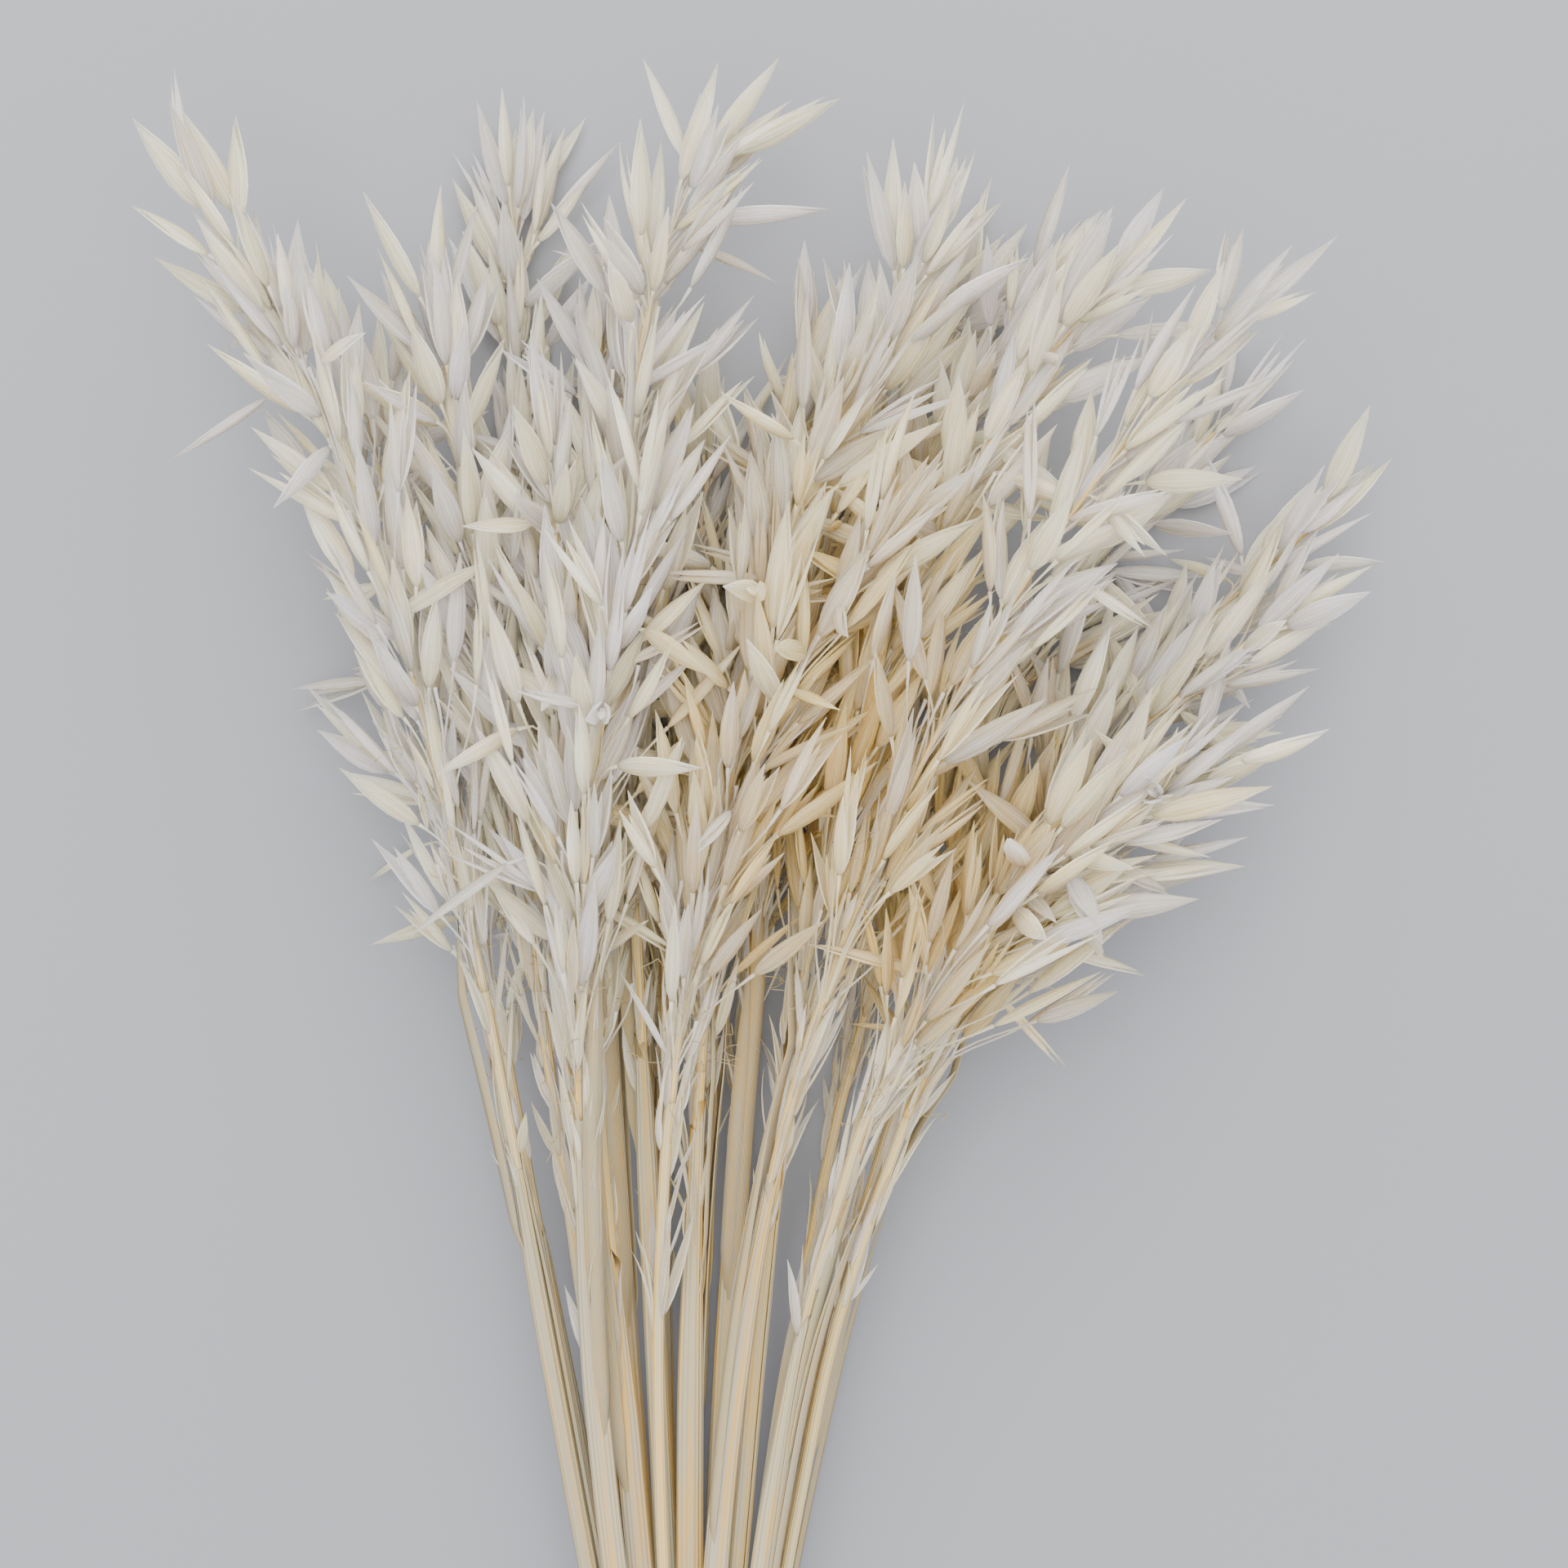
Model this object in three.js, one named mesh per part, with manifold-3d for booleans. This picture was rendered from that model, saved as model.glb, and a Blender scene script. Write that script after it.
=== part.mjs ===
// A bundle of bleached, dried oat stalks, tied with twine and lying on a flat surface.
//
// Frame: millimetres, +Z up. The stalks run along +Y, cut ends at low Y and oat heads at high Y. The origin
// is at the middle of the bundle's underside. While the pieces are made, y = 0 is the middle of the tie.
//
// A stalk is a straw, an oat head (a main stem with branches and spikelets) and, on most of them, a leaf
// sheath wrapped round the straw. The stalks lie in layers, one above the other, so that they can cross
// without touching. Each branch and its spikelet look for a place that is clear of their neighbours.
import * as THREE from "three";
import Module from "manifold-3d";

const wasm = await Module();
wasm.setup();

// ---- Driving sizes, in millimetres and radians ------------------------------------------------------
const GAP = 0.3; // between two pieces that touch
const TAIL_LENGTH = 190; // from the tie down to the longest cut end
const TAIL_UNEVEN = 16; // how much shorter some straws are cut
const NECK_BEND = 16; // how softly a stalk leaves the tie
const FAN_SLOPE = 0.17; // sideways slope of an outermost stalk just above the tie
const TAIL_SLOPE = 0.055; // the same, towards the cut ends

const STRAW_RADIUS = 2.1; // at the cut end
const STRAW_TOP_RADIUS = 1.5; // where the head starts
const STRAW_SIDES = 6;
const JOINT_RADIUS = 2.6; // the swollen joint that a leaf sheath grows from
const JOINT_LENGTH = 5;
const JOINT_BELOW_TIE = 30;
const JOINT_SCATTER = 14;
const STATION_STEP = 42; // between two rings of points along a stalk
const STATION_SPARE = 0.2; // share of a step that is left free before an end's own ring

const SHEATH_WALL = 0.45;
const SHEATH_CLEARANCE = 0.4; // between the straw and its sheath
const SHEATH_WIDENING = 0.7; // a dried sheath is pressed wider than it is thick
const SHEATH_EDGE = 1; // height of the top edge at the open side

const TIE_WIDTH = 12;
const TIE_THICKNESS = 2;
const TIE_CLEARANCE = 0.4;
const LOOP_POINTS = 12; // points that the twine's loop takes from round each straw
const KNOT_RADIUS = 3.4;
const KNOT_END_LENGTH = 17;
const KNOT_END_RADIUS = 1.1;
const KNOT_SIDES = 6;

const HEAD_FLOOR = 9; // height of the lowest heads' middle line
const HEAD_PITCH = 17; // from one layer of heads to the next
const HEAD_REACH = 300; // distance above the tie where those heights hold
const HEAD_SAG = 2.5; // how far a head's tip hangs, for each layer above the lowest
const SAG_BOW = 6; // the power of that curve

const STEM_RADIUS = 1.1; // main stem of an oat head, at its foot
const STEM_TIP_RADIUS = 0.55;
const STEM_SIDES = 3;
const WHORL_SPIKELETS = [4, 3, 3, 3, 2, 1]; // from the head's foot to its tip
const WHORL_STEP = 2.5; // between two branches of one whorl
const WHORL_ABOVE_FOOT = 9;
const BRANCH_RADIUS = 0.5;
const BRANCH_LENGTH = 50; // longest branch at the head's foot
const BRANCH_TIP_LENGTH = 10; // longest branch at its tip
const BRANCH_ROOT = 0.4; // share of the main stem's radius where a branch starts inside it
const BRANCH_OPEN = [0.12, 0.42]; // angle between a branch and the main stem
const SPIKELET_OPEN = [0.02, 0.5]; // further angle between a spikelet and its branch
const SPIKELET_LENGTH = [21, 26];
const END_SPIKELET = 24; // length of the spikelet at a head's tip
const SPIKELET_RADIUS = 2.5;
const SPIKELET_WIDEST = 0.4; // share of its length where a spikelet is widest
const SPIKELET_WAIST = [0.18, 0.62]; // shares of its length between which it counts as full width
const SLENDER = 0.62; // share of the full width that its two ends count as
const HANGING_SHARE = 0.07; // share of the spikelets that hang outwards
const HANGING_OPEN = 1.2; // how much further those open
const SHORTEST_BRANCH = 0.3; // as a share of the longest one of its whorl
const TRIES = 60; // places tried for one spikelet before it is left out
const SHORTEST_EDGE = 0.01; // a branch joins its stem without leaving an edge shorter than this

// ---- The stalks -------------------------------------------------------------------------------------
// One row for each stalk, from left to right in its layer. Layer 0 lies on the surface.
// tip: where the head ends, sideways and along from the tie's middle.
// bow: the power of its curve, so a high number keeps a stalk straight until near its tip.
// head: length of the head. sheath: how far above the tie its leaf sheath ends, if it has one.
// tongue: how much longer the sheath is at its back, where the leaf blade is torn off.
const LAYERS = [
  [
    { tip: [-44, 424], bow: 3, head: 196 },
    { tip: [8, 362], bow: 3, head: 172, sheath: 178, tongue: 9 },
    { tip: [84, 400], bow: 5, head: 188 },
    { tip: [150, 366], bow: 4, head: 178 },
  ],
  [
    { tip: [-87, 380], bow: 4, head: 186, sheath: 142, tongue: 12 },
    { tip: [-20, 392], bow: 3, head: 190, sheath: 184, tongue: 8 },
    { tip: [38, 384], bow: 4, head: 178, sheath: 150, tongue: 10 },
    { tip: [100, 400], bow: 5, head: 190 },
    { tip: [172, 338], bow: 4, head: 146, sheath: 118, tongue: 9 },
  ],
  [
    { tip: [-62, 388], bow: 3, head: 176 },
    { tip: [22, 431], bow: 10, head: 200, sheath: 188, tongue: 7 },
    { tip: [66, 406], bow: 4, head: 192, sheath: 160, tongue: 9 },
    { tip: [156, 310], bow: 4, head: 114 },
  ],
  [
    { tip: [-127, 413], bow: 7, head: 202, sheath: 166, tongue: 10 },
    { tip: [-32, 352], bow: 3, head: 168, sheath: 134, tongue: 12 },
    { tip: [46, 372], bow: 4, head: 180, sheath: 172, tongue: 8 },
    { tip: [114, 392], bow: 5, head: 188, sheath: 156, tongue: 26 },
    { tip: [140, 277], bow: 5, head: 96 },
  ],
  [
    { tip: [-4, 340], bow: 3, head: 158, sheath: 176, tongue: 9 },
    { tip: [62, 336], bow: 4, head: 150 },
    { tip: [140, 382], bow: 3, head: 184, sheath: 150, tongue: 14 },
    { tip: [116, 268], bow: 5, head: 84, sheath: 122, tongue: 9 },
  ],
];

// ---- What follows from the driving sizes ------------------------------------------------------------
const SHEATH_OUTER = STRAW_RADIUS + SHEATH_CLEARANCE + SHEATH_WALL;
const SLOT_PITCH_X = 2 * (SHEATH_OUTER + SHEATH_WIDENING) + GAP;
const SLOT_PITCH_Z = 2 * SHEATH_OUTER + GAP;
const LOWEST_SLOT = TIE_THICKNESS + TIE_CLEARANCE + SHEATH_OUTER;
const SIDE_STEP = (2 * Math.PI) / STRAW_SIDES;

const UP = new THREE.Vector3(0, 0, 1);
const lerp = THREE.MathUtils.lerp;
const pick = (range, share) => lerp(range[0], range[1], share);

// A straight slope that starts level at the tie's edge, with a soft bend.
function softened(y) {
  const past = Math.max(0, Math.abs(y) - TIE_WIDTH / 2);
  return Math.hypot(past, NECK_BEND) - NECK_BEND;
}

// Numbers from 0 to 1, the same ones each time.
function seeded(seed) {
  let state = seed * 7919 + 17;
  return () => {
    state = (state * 48271) % 2147483647;
    return state / 2147483647;
  };
}

const stalks = LAYERS.flatMap((rows, layer) =>
  rows.map((row, i) => {
    const place = i - (rows.length - 1) / 2;
    const slot = new THREE.Vector3(place * SLOT_PITCH_X, 0, LOWEST_SLOT + layer * SLOT_PITCH_Z);
    return { ...row, layer, place, slot };
  }),
);
stalks.forEach((stalk, i) => {
  const random = seeded(i + 101);
  random();
  stalk.random = random;
  stalk.number = String(i + 1).padStart(2, "0");
  stalk.cut = -TAIL_LENGTH + TAIL_UNEVEN * random();
  stalk.joint = -JOINT_BELOW_TIE - JOINT_SCATTER * random();
  stalk.split = Math.floor(STRAW_SIDES * random());
  stalk.foot = stalk.tip[1] - stalk.head;
});

// A stalk's middle line at the distance y from the tie.
function lineAt(stalk, y) {
  const { place, slot, tip, bow, layer } = stalk;
  if (y < 0) {
    const slope = (TAIL_SLOPE * place) / 2;
    const drop = (LOWEST_SLOT - STRAW_RADIUS) / softened(stalk.cut);
    return new THREE.Vector3(slot.x + slope * softened(y), y, slot.z - drop * softened(y));
  }
  const slope = (FAN_SLOPE * place) / 2;
  const rise = (HEAD_FLOOR + layer * HEAD_PITCH - slot.z) / softened(HEAD_REACH);
  const curve = tip[0] - slot.x - slope * softened(tip[1]);
  const share = y / tip[1];
  const x = slot.x + slope * softened(y) + curve * share ** bow;
  return new THREE.Vector3(x, y, slot.z + rise * softened(y) - HEAD_SAG * layer * share ** SAG_BOW);
}

// The direction of the line there, with the two directions across it.
function frameAt(stalk, y) {
  const along = lineAt(stalk, y + 0.5).sub(lineAt(stalk, y - 0.5)).normalize();
  const side = new THREE.Vector3().crossVectors(along, UP).normalize();
  return { along, side, up: new THREE.Vector3().crossVectors(side, along) };
}

// Distances for the rings of points along a stalk, counted from the tie's edges. They are the same
// ones for a straw and its sheath, so that the two stay parallel.
function stations(from, to) {
  const spare = STATION_SPARE * STATION_STEP;
  const above = [];
  for (let y = TIE_WIDTH / 2; y < Math.max(-from, to); y += STATION_STEP) {
    above.push(y);
  }
  const below = above.map((y) => -y).reverse();
  const between = [...below, ...above].filter((y) => y > from + spare && y < to - spare);
  return [from, ...between, to];
}

// One point beside a middle point, at an angle and with two radii.
function around(middle, frame, angle, width, height = width) {
  const point = middle.clone().addScaledVector(frame.side, width * Math.cos(angle));
  return point.addScaledVector(frame.up, height * Math.sin(angle));
}

// A ring of points. The first one lies so that one point of the ring is straight below the middle.
function ring(middle, frame, radius, sides) {
  const points = [];
  for (let k = 0; k < sides; k += 1) {
    points.push(around(middle, frame, -Math.PI / 2 + (k * 2 * Math.PI) / sides, radius));
  }
  return points;
}

// A closed solid's triangles over a row of rings. A last ring of one point makes a sharp tip.
function skin(rings) {
  const points = rings.flat();
  const faces = [];
  const cap = (start, count, turned) => {
    for (let a = 0, b = count - 1; b - a > 1; a += 1, b -= 1) {
      const corners = [[a, a + 1, b]];
      if (b - a > 2) {
        corners.push([a + 1, b - 1, b]);
      }
      for (const [i, j, k] of corners) {
        faces.push(start + i, start + (turned ? k : j), start + (turned ? j : k));
      }
    }
  };
  let start = 0;
  cap(0, rings[0].length, false);
  for (let i = 0; i + 1 < rings.length; i += 1) {
    const count = rings[i].length;
    const next = start + count;
    for (let k = 0; k < count; k += 1) {
      const other = (k + 1) % count;
      if (rings[i + 1].length === 1) {
        faces.push(start + k, next, start + other);
      } else {
        faces.push(start + k, next + other, start + other);
        faces.push(start + k, next + k, next + other);
      }
    }
    start = next;
  }
  cap(start, rings[rings.length - 1].length, true);
  return { points, faces };
}

function solid({ points, faces }) {
  const vertProperties = new Float32Array(points.flatMap((point) => point.toArray()));
  const triVerts = new Uint32Array(faces);
  return new wasm.Manifold(new wasm.Mesh({ numProp: 3, vertProperties, triVerts }));
}

function geometryOf(body) {
  const mesh = body.getMesh();
  const geometry = new THREE.BufferGeometry();
  geometry.setAttribute("position", new THREE.BufferAttribute(mesh.vertProperties, 3));
  geometry.setIndex(new THREE.BufferAttribute(mesh.triVerts, 1));
  geometry.computeVertexNormals();
  return geometry;
}

const group = new THREE.Group();

function addPiece(name, body, color, roughness) {
  const material = new THREE.MeshStandardMaterial({ color, roughness });
  const mesh = new THREE.Mesh(geometryOf(body), material);
  mesh.name = name;
  group.add(mesh);
}

// ---- Straws -----------------------------------------------------------------------------------------
function strawRadius(stalk, y) {
  return lerp(STRAW_RADIUS, STRAW_TOP_RADIUS, (y - stalk.cut) / (stalk.foot - stalk.cut));
}

function makeStraw(stalk) {
  const start = stalk.joint - JOINT_LENGTH;
  const swelling = new Map([
    [start, strawRadius(stalk, start)],
    [start + 0.3 * JOINT_LENGTH, JOINT_RADIUS],
    [start + 0.7 * JOINT_LENGTH, JOINT_RADIUS],
    [stalk.joint, strawRadius(stalk, stalk.joint)],
  ]);
  const below = stations(stalk.cut, stalk.joint - JOINT_LENGTH).slice(0, -1);
  const above = stations(stalk.joint, stalk.foot).slice(1);
  const rows = [...below, ...swelling.keys(), ...above];
  const rings = rows.map((y) => {
    const radius = swelling.get(y) ?? strawRadius(stalk, y);
    return ring(lineAt(stalk, y), frameAt(stalk, y), radius, STRAW_SIDES);
  });
  return solid(skin(rings));
}

// ---- Leaf sheaths -----------------------------------------------------------------------------------
// A thin wall round five of the straw's six sides. Its top edge slopes down towards the open side.
function makeSheath(stalk) {
  const from = stalk.joint + GAP;
  const rows = stations(from, stalk.sheath).map((y) => [y, 0]);
  rows.push([stalk.sheath + SHEATH_EDGE, stalk.tongue]);
  const rings = rows.map(([level, tongue]) => {
    const outer = [];
    const inner = [];
    for (let k = 0; k < STRAW_SIDES; k += 1) {
      const angle = -Math.PI / 2 + (stalk.split + k) * SIDE_STEP;
      const backness = Math.sin((Math.PI * k) / (STRAW_SIDES - 1));
      const y = level + tongue * backness;
      const middle = lineAt(stalk, y);
      const frame = frameAt(stalk, y);
      const radius = strawRadius(stalk, y) + SHEATH_CLEARANCE;
      const wide = radius + SHEATH_WIDENING;
      outer.push(around(middle, frame, angle, wide + SHEATH_WALL, radius + SHEATH_WALL));
      inner.unshift(around(middle, frame, angle, wide, radius));
    }
    return [...outer, ...inner];
  });
  return solid(skin(rings));
}

// ---- Oat heads --------------------------------------------------------------------------------------
// Every stretch of a stalk or branch is kept as a line with a radius, to find places clear of it.
const taken = [];

function stretch(start, end, radius, owner, kind) {
  const line = new THREE.Line3(start.clone(), end.clone());
  const middle = line.getCenter(new THREE.Vector3());
  return { line, middle, radius, reach: line.distance() / 2 + radius, owner, kind };
}

function isClear(piece) {
  return taken.every((other) => {
    const sameHead = other.owner === piece.owner;
    if (sameHead && piece.kind === "branch" && other.kind === "stem") {
      return true;
    }
    const near = piece.reach + other.reach + GAP;
    if (piece.middle.distanceToSquared(other.middle) > near * near) {
      return true;
    }
    const least = piece.radius + other.radius + (sameHead ? 0 : GAP);
    return piece.line.distanceSqToLine3(other.line) > least * least;
  });
}

for (const stalk of stalks) {
  const ends = stations(stalk.cut, stalk.tip[1]);
  for (let i = 0; i + 1 < ends.length; i += 1) {
    const covered = stalk.sheath !== undefined && ends[i] < stalk.sheath + stalk.tongue;
    const below = covered ? SHEATH_OUTER + SHEATH_WIDENING : STRAW_RADIUS;
    const radius = ends[i] < stalk.foot ? below : STEM_RADIUS;
    taken.push(stretch(lineAt(stalk, ends[i]), lineAt(stalk, ends[i + 1]), radius, stalk, "stem"));
  }
}

function stemRadius(stalk, y) {
  return lerp(STEM_RADIUS, STEM_TIP_RADIUS, (y - stalk.foot) / stalk.head);
}

// Where the main stem has its rings: at its foot, at each whorl and where its last spikelet starts.
function stemRows(stalk) {
  const end = stalk.tip[1] - END_SPIKELET;
  const first = stalk.foot + WHORL_ABOVE_FOOT;
  const last = end - BRANCH_TIP_LENGTH;
  const whorls = WHORL_SPIKELETS.map((_, i) => lerp(first, last, i / (WHORL_SPIKELETS.length - 1)));
  return [stalk.foot + GAP, ...whorls, end];
}

// The middle of the main stem, which runs straight from ring to ring.
function stemAt(stalk, y) {
  const rows = stemRows(stalk);
  const next = Math.max(1, rows.findIndex((row) => row >= y));
  const share = (y - rows[next - 1]) / (rows[next] - rows[next - 1]);
  return lineAt(stalk, rows[next - 1]).lerp(lineAt(stalk, rows[next]), share);
}

// One branch with its spikelet: where they go for a given turn round the stem and opening angle.
function placeBranch(stalk, y, turn, open, further, branchLength, length) {
  const frame = frameAt(stalk, y);
  const outwards = around(new THREE.Vector3(), frame, turn, 1);
  const root = stemAt(stalk, y).addScaledVector(outwards, BRANCH_ROOT * stemRadius(stalk, y));
  const lean = (angle) =>
    frame.along.clone().multiplyScalar(Math.cos(angle)).addScaledVector(outwards, Math.sin(angle));
  const first = lean(open);
  const second = lean(open + further);
  const neck = root.clone().addScaledVector(first, branchLength);
  neck.z = Math.max(neck.z, SPIKELET_RADIUS);
  const tip = neck.clone().addScaledVector(second, length);
  tip.z = Math.max(tip.z, SPIKELET_RADIUS);
  const at = (share) => neck.clone().lerp(tip, share);
  const [low, high] = SPIKELET_WAIST;
  const parts = [
    stretch(root, neck, BRANCH_RADIUS, stalk, "branch"),
    stretch(neck, at(low), SLENDER * SPIKELET_RADIUS, stalk, "spikelet"),
    stretch(at(low), at(high), SPIKELET_RADIUS, stalk, "spikelet"),
    stretch(at(high), tip, SLENDER * SPIKELET_RADIUS, stalk, "spikelet"),
  ];
  return { root, neck, tip, widest: at(SPIKELET_WIDEST), parts };
}

function acrossFrame(direction) {
  const side = new THREE.Vector3().crossVectors(direction, UP).normalize();
  return { side, up: new THREE.Vector3().crossVectors(side, direction) };
}

function branchBody({ root, neck, widest, tip }) {
  const first = neck.clone().sub(root).normalize();
  const second = tip.clone().sub(neck).normalize();
  const frame = acrossFrame(first);
  const turn = new THREE.Quaternion().setFromUnitVectors(first, second);
  const turned = {
    side: frame.side.clone().applyQuaternion(turn),
    up: frame.up.clone().applyQuaternion(turn),
  };
  return solid(
    skin([
      ring(root, frame, BRANCH_RADIUS, 3),
      ring(neck, turned, BRANCH_RADIUS, 3),
      ring(widest, turned, SPIKELET_RADIUS, 3),
      [tip],
    ]),
  );
}

// The head's main stem, which runs out into the spikelet at its tip.
function headStem(stalk) {
  const rows = stemRows(stalk);
  const rings = rows.map((y) =>
    ring(lineAt(stalk, y), frameAt(stalk, y), stemRadius(stalk, y), STEM_SIDES),
  );
  const end = rows.at(-1);
  const wide = end + SPIKELET_WIDEST * END_SPIKELET;
  rings.push(ring(lineAt(stalk, wide), frameAt(stalk, wide), SPIKELET_RADIUS, STEM_SIDES));
  rings.push([lineAt(stalk, stalk.tip[1])]);
  const start = lineAt(stalk, end);
  taken.push(stretch(start, lineAt(stalk, stalk.tip[1]), SPIKELET_RADIUS, stalk, "spikelet"));
  return solid(skin(rings));
}

function shortestEdge(body) {
  const { vertProperties, triVerts } = body.getMesh();
  const corner = (i) => new THREE.Vector3().fromArray(vertProperties, 3 * triVerts[i]);
  let shortest = Infinity;
  for (let i = 0; i < triVerts.length; i += 3) {
    const corners = [corner(i), corner(i + 1), corner(i + 2)];
    corners.forEach((point, k) => {
      shortest = Math.min(shortest, point.distanceTo(corners[(k + 1) % 3]));
    });
  }
  return shortest;
}

// Adds one branch to a head, in the first place that is clear and that joins cleanly.
function growBranch(head, y, share) {
  const { stalk } = head;
  const { random } = stalk;
  const hanging = random() < HANGING_SHARE;
  const longest = lerp(BRANCH_LENGTH, BRANCH_TIP_LENGTH, share);
  for (let attempt = 0; attempt < TRIES; attempt += 1) {
    const slack = 1 - attempt / TRIES;
    const turn = 2 * Math.PI * random();
    const open = pick(BRANCH_OPEN, random() * slack);
    const further = pick(SPIKELET_OPEN, random() * slack) + (hanging ? HANGING_OPEN * slack : 0);
    const branch = Math.max(BRANCH_TIP_LENGTH, longest * lerp(SHORTEST_BRANCH, 1, random()));
    const length = pick(SPIKELET_LENGTH, random());
    const place = placeBranch(stalk, y, turn, open, further, branch, length);
    if (place.parts.every(isClear)) {
      const joined = head.body.add(branchBody(place));
      if (shortestEdge(joined) > SHORTEST_EDGE && joined.decompose().length === 1) {
        taken.push(...place.parts);
        head.body = joined;
        return;
      }
    }
  }
}

const heads = stalks.map((stalk) => ({ stalk, body: headStem(stalk) }));
WHORL_SPIKELETS.forEach((count, whorl) => {
  for (const head of heads) {
    const middle = stemRows(head.stalk)[whorl + 1];
    for (let i = 0; i < count; i += 1) {
      const y = middle + WHORL_STEP * (i - (count - 1) / 2);
      growBranch(head, y, whorl / (WHORL_SPIKELETS.length - 1));
    }
  }
});

// ---- The twine --------------------------------------------------------------------------------------
// The smallest loop, as a ring of points in the plane y = 0, that goes round all the stalks' slots.
function loopRound(margin) {
  const points = [];
  for (const { slot } of stalks) {
    for (let k = 0; k < LOOP_POINTS; k += 1) {
      const angle = (k * 2 * Math.PI) / LOOP_POINTS;
      const x = slot.x + (SHEATH_OUTER + SHEATH_WIDENING + margin) * Math.cos(angle);
      points.push(new THREE.Vector3(x, 0, slot.z + (SHEATH_OUTER + margin) * Math.sin(angle)));
    }
  }
  points.sort((a, b) => a.x - b.x || a.z - b.z);
  const turnsRight = (a, b, c) => (b.x - a.x) * (c.z - a.z) - (b.z - a.z) * (c.x - a.x) <= 1e-3;
  const half = (list) => {
    const chain = [];
    for (const point of list) {
      while (chain.length > 1 && turnsRight(chain.at(-2), chain.at(-1), point)) {
        chain.pop();
      }
      chain.push(point);
    }
    return chain.slice(0, -1);
  };
  return [...half(points), ...half(points.reverse())];
}

function block(loop, halfWidth) {
  return solid(skin([-halfWidth, halfWidth].map((y) => loop.map((point) => point.clone().setY(y)))));
}

function makeTwine() {
  const band = block(loopRound(TIE_CLEARANCE + TIE_THICKNESS), TIE_WIDTH / 2);
  const hole = block(loopRound(TIE_CLEARANCE), TIE_WIDTH);
  const top = Math.max(...loopRound(TIE_CLEARANCE + TIE_THICKNESS).map((point) => point.z));
  const knotMiddle = new THREE.Vector3(0, 0, top + 0.3 * KNOT_RADIUS);
  const sideways = acrossFrame(new THREE.Vector3(1, 0, 0));
  const knotAt = (x) => knotMiddle.clone().setX(x);
  const half = 0.5 * KNOT_RADIUS;
  const knot = solid(
    skin([
      ring(knotAt(-KNOT_RADIUS), sideways, half, KNOT_SIDES),
      ring(knotAt(-half), sideways, KNOT_RADIUS, KNOT_SIDES),
      ring(knotAt(half), sideways, KNOT_RADIUS, KNOT_SIDES),
      ring(knotAt(KNOT_RADIUS), sideways, half, KNOT_SIDES),
    ]),
  );
  let twine = band.subtract(hole).add(knot);
  for (const across of [-1, 1]) {
    const direction = new THREE.Vector3(across, -0.7, 0).normalize();
    const end = knotMiddle.clone().addScaledVector(direction, KNOT_END_LENGTH);
    const frame = acrossFrame(direction);
    const rings = [knotMiddle, end].map((at) => ring(at, frame, KNOT_END_RADIUS, KNOT_SIDES));
    twine = twine.add(solid(skin(rings)));
  }
  return twine;
}

// ---- The bundle -------------------------------------------------------------------------------------
for (const stalk of stalks) {
  addPiece(`straw_${stalk.number}`, makeStraw(stalk), "#cfc4a4", 0.6);
  if (stalk.sheath !== undefined) {
    addPiece(`leaf_sheath_${stalk.number}`, makeSheath(stalk), "#d9d2bd", 0.7);
  }
}
for (const { stalk, body } of heads) {
  addPiece(`oat_head_${stalk.number}`, body, "#e4dfd0", 0.75);
}
addPiece("twine_tie", makeTwine(), "#b79a6a", 0.9);

const box = new THREE.Box3().setFromObject(group);
const middle = box.getCenter(new THREE.Vector3());
for (const mesh of group.children) {
  mesh.geometry.translate(-middle.x, -middle.y, -box.min.z);
}

export default group;
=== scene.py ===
# %% [markdown]
# # A bundle of dried oats
# The bundle lies on a pale table and is seen from above. It has straws, papery leaf sheaths wrapped round
# them, oat heads and a twine tie. Each of them could be modelled by hand, but a head has dozens of
# spikelets, so every piece here is a surface worked out with numpy and laid along the measured pieces of
# the frame.

# %% Load the frame
import bpy
import numpy as np
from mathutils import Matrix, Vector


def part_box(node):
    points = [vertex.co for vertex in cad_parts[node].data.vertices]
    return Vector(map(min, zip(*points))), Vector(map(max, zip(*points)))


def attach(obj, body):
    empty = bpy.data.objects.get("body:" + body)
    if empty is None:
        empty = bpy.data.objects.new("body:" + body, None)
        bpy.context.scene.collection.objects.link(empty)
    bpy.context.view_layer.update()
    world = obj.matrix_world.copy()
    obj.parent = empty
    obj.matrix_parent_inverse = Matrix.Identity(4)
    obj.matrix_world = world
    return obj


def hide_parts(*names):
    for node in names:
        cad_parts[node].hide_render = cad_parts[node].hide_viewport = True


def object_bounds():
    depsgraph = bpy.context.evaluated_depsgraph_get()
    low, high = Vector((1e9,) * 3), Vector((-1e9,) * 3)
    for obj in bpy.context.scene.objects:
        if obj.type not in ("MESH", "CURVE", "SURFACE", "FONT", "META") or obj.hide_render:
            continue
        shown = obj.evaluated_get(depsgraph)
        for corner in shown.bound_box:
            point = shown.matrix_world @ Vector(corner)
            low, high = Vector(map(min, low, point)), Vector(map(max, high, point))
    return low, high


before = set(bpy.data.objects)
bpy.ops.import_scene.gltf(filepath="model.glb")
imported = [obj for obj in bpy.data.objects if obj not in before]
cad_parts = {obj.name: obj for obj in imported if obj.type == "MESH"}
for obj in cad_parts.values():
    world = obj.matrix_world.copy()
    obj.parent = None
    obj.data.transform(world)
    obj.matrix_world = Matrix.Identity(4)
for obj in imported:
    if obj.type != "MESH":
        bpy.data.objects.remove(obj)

cad_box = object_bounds()
MM = 0.001
UP = np.array([0.0, 0.0, 1.0])
print("bundle, in mm:", [round(float(b - a) / MM) for a, b in zip(*cad_box)])

# %% [markdown]
# The frame holds one plain mesh for each straw, sheath and head, and one for the tie. Their corner points
# are all that has to be measured: each finer piece is laid where those points are. They could be read one
# by one, but whole arrays keep it quick and short.

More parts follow.
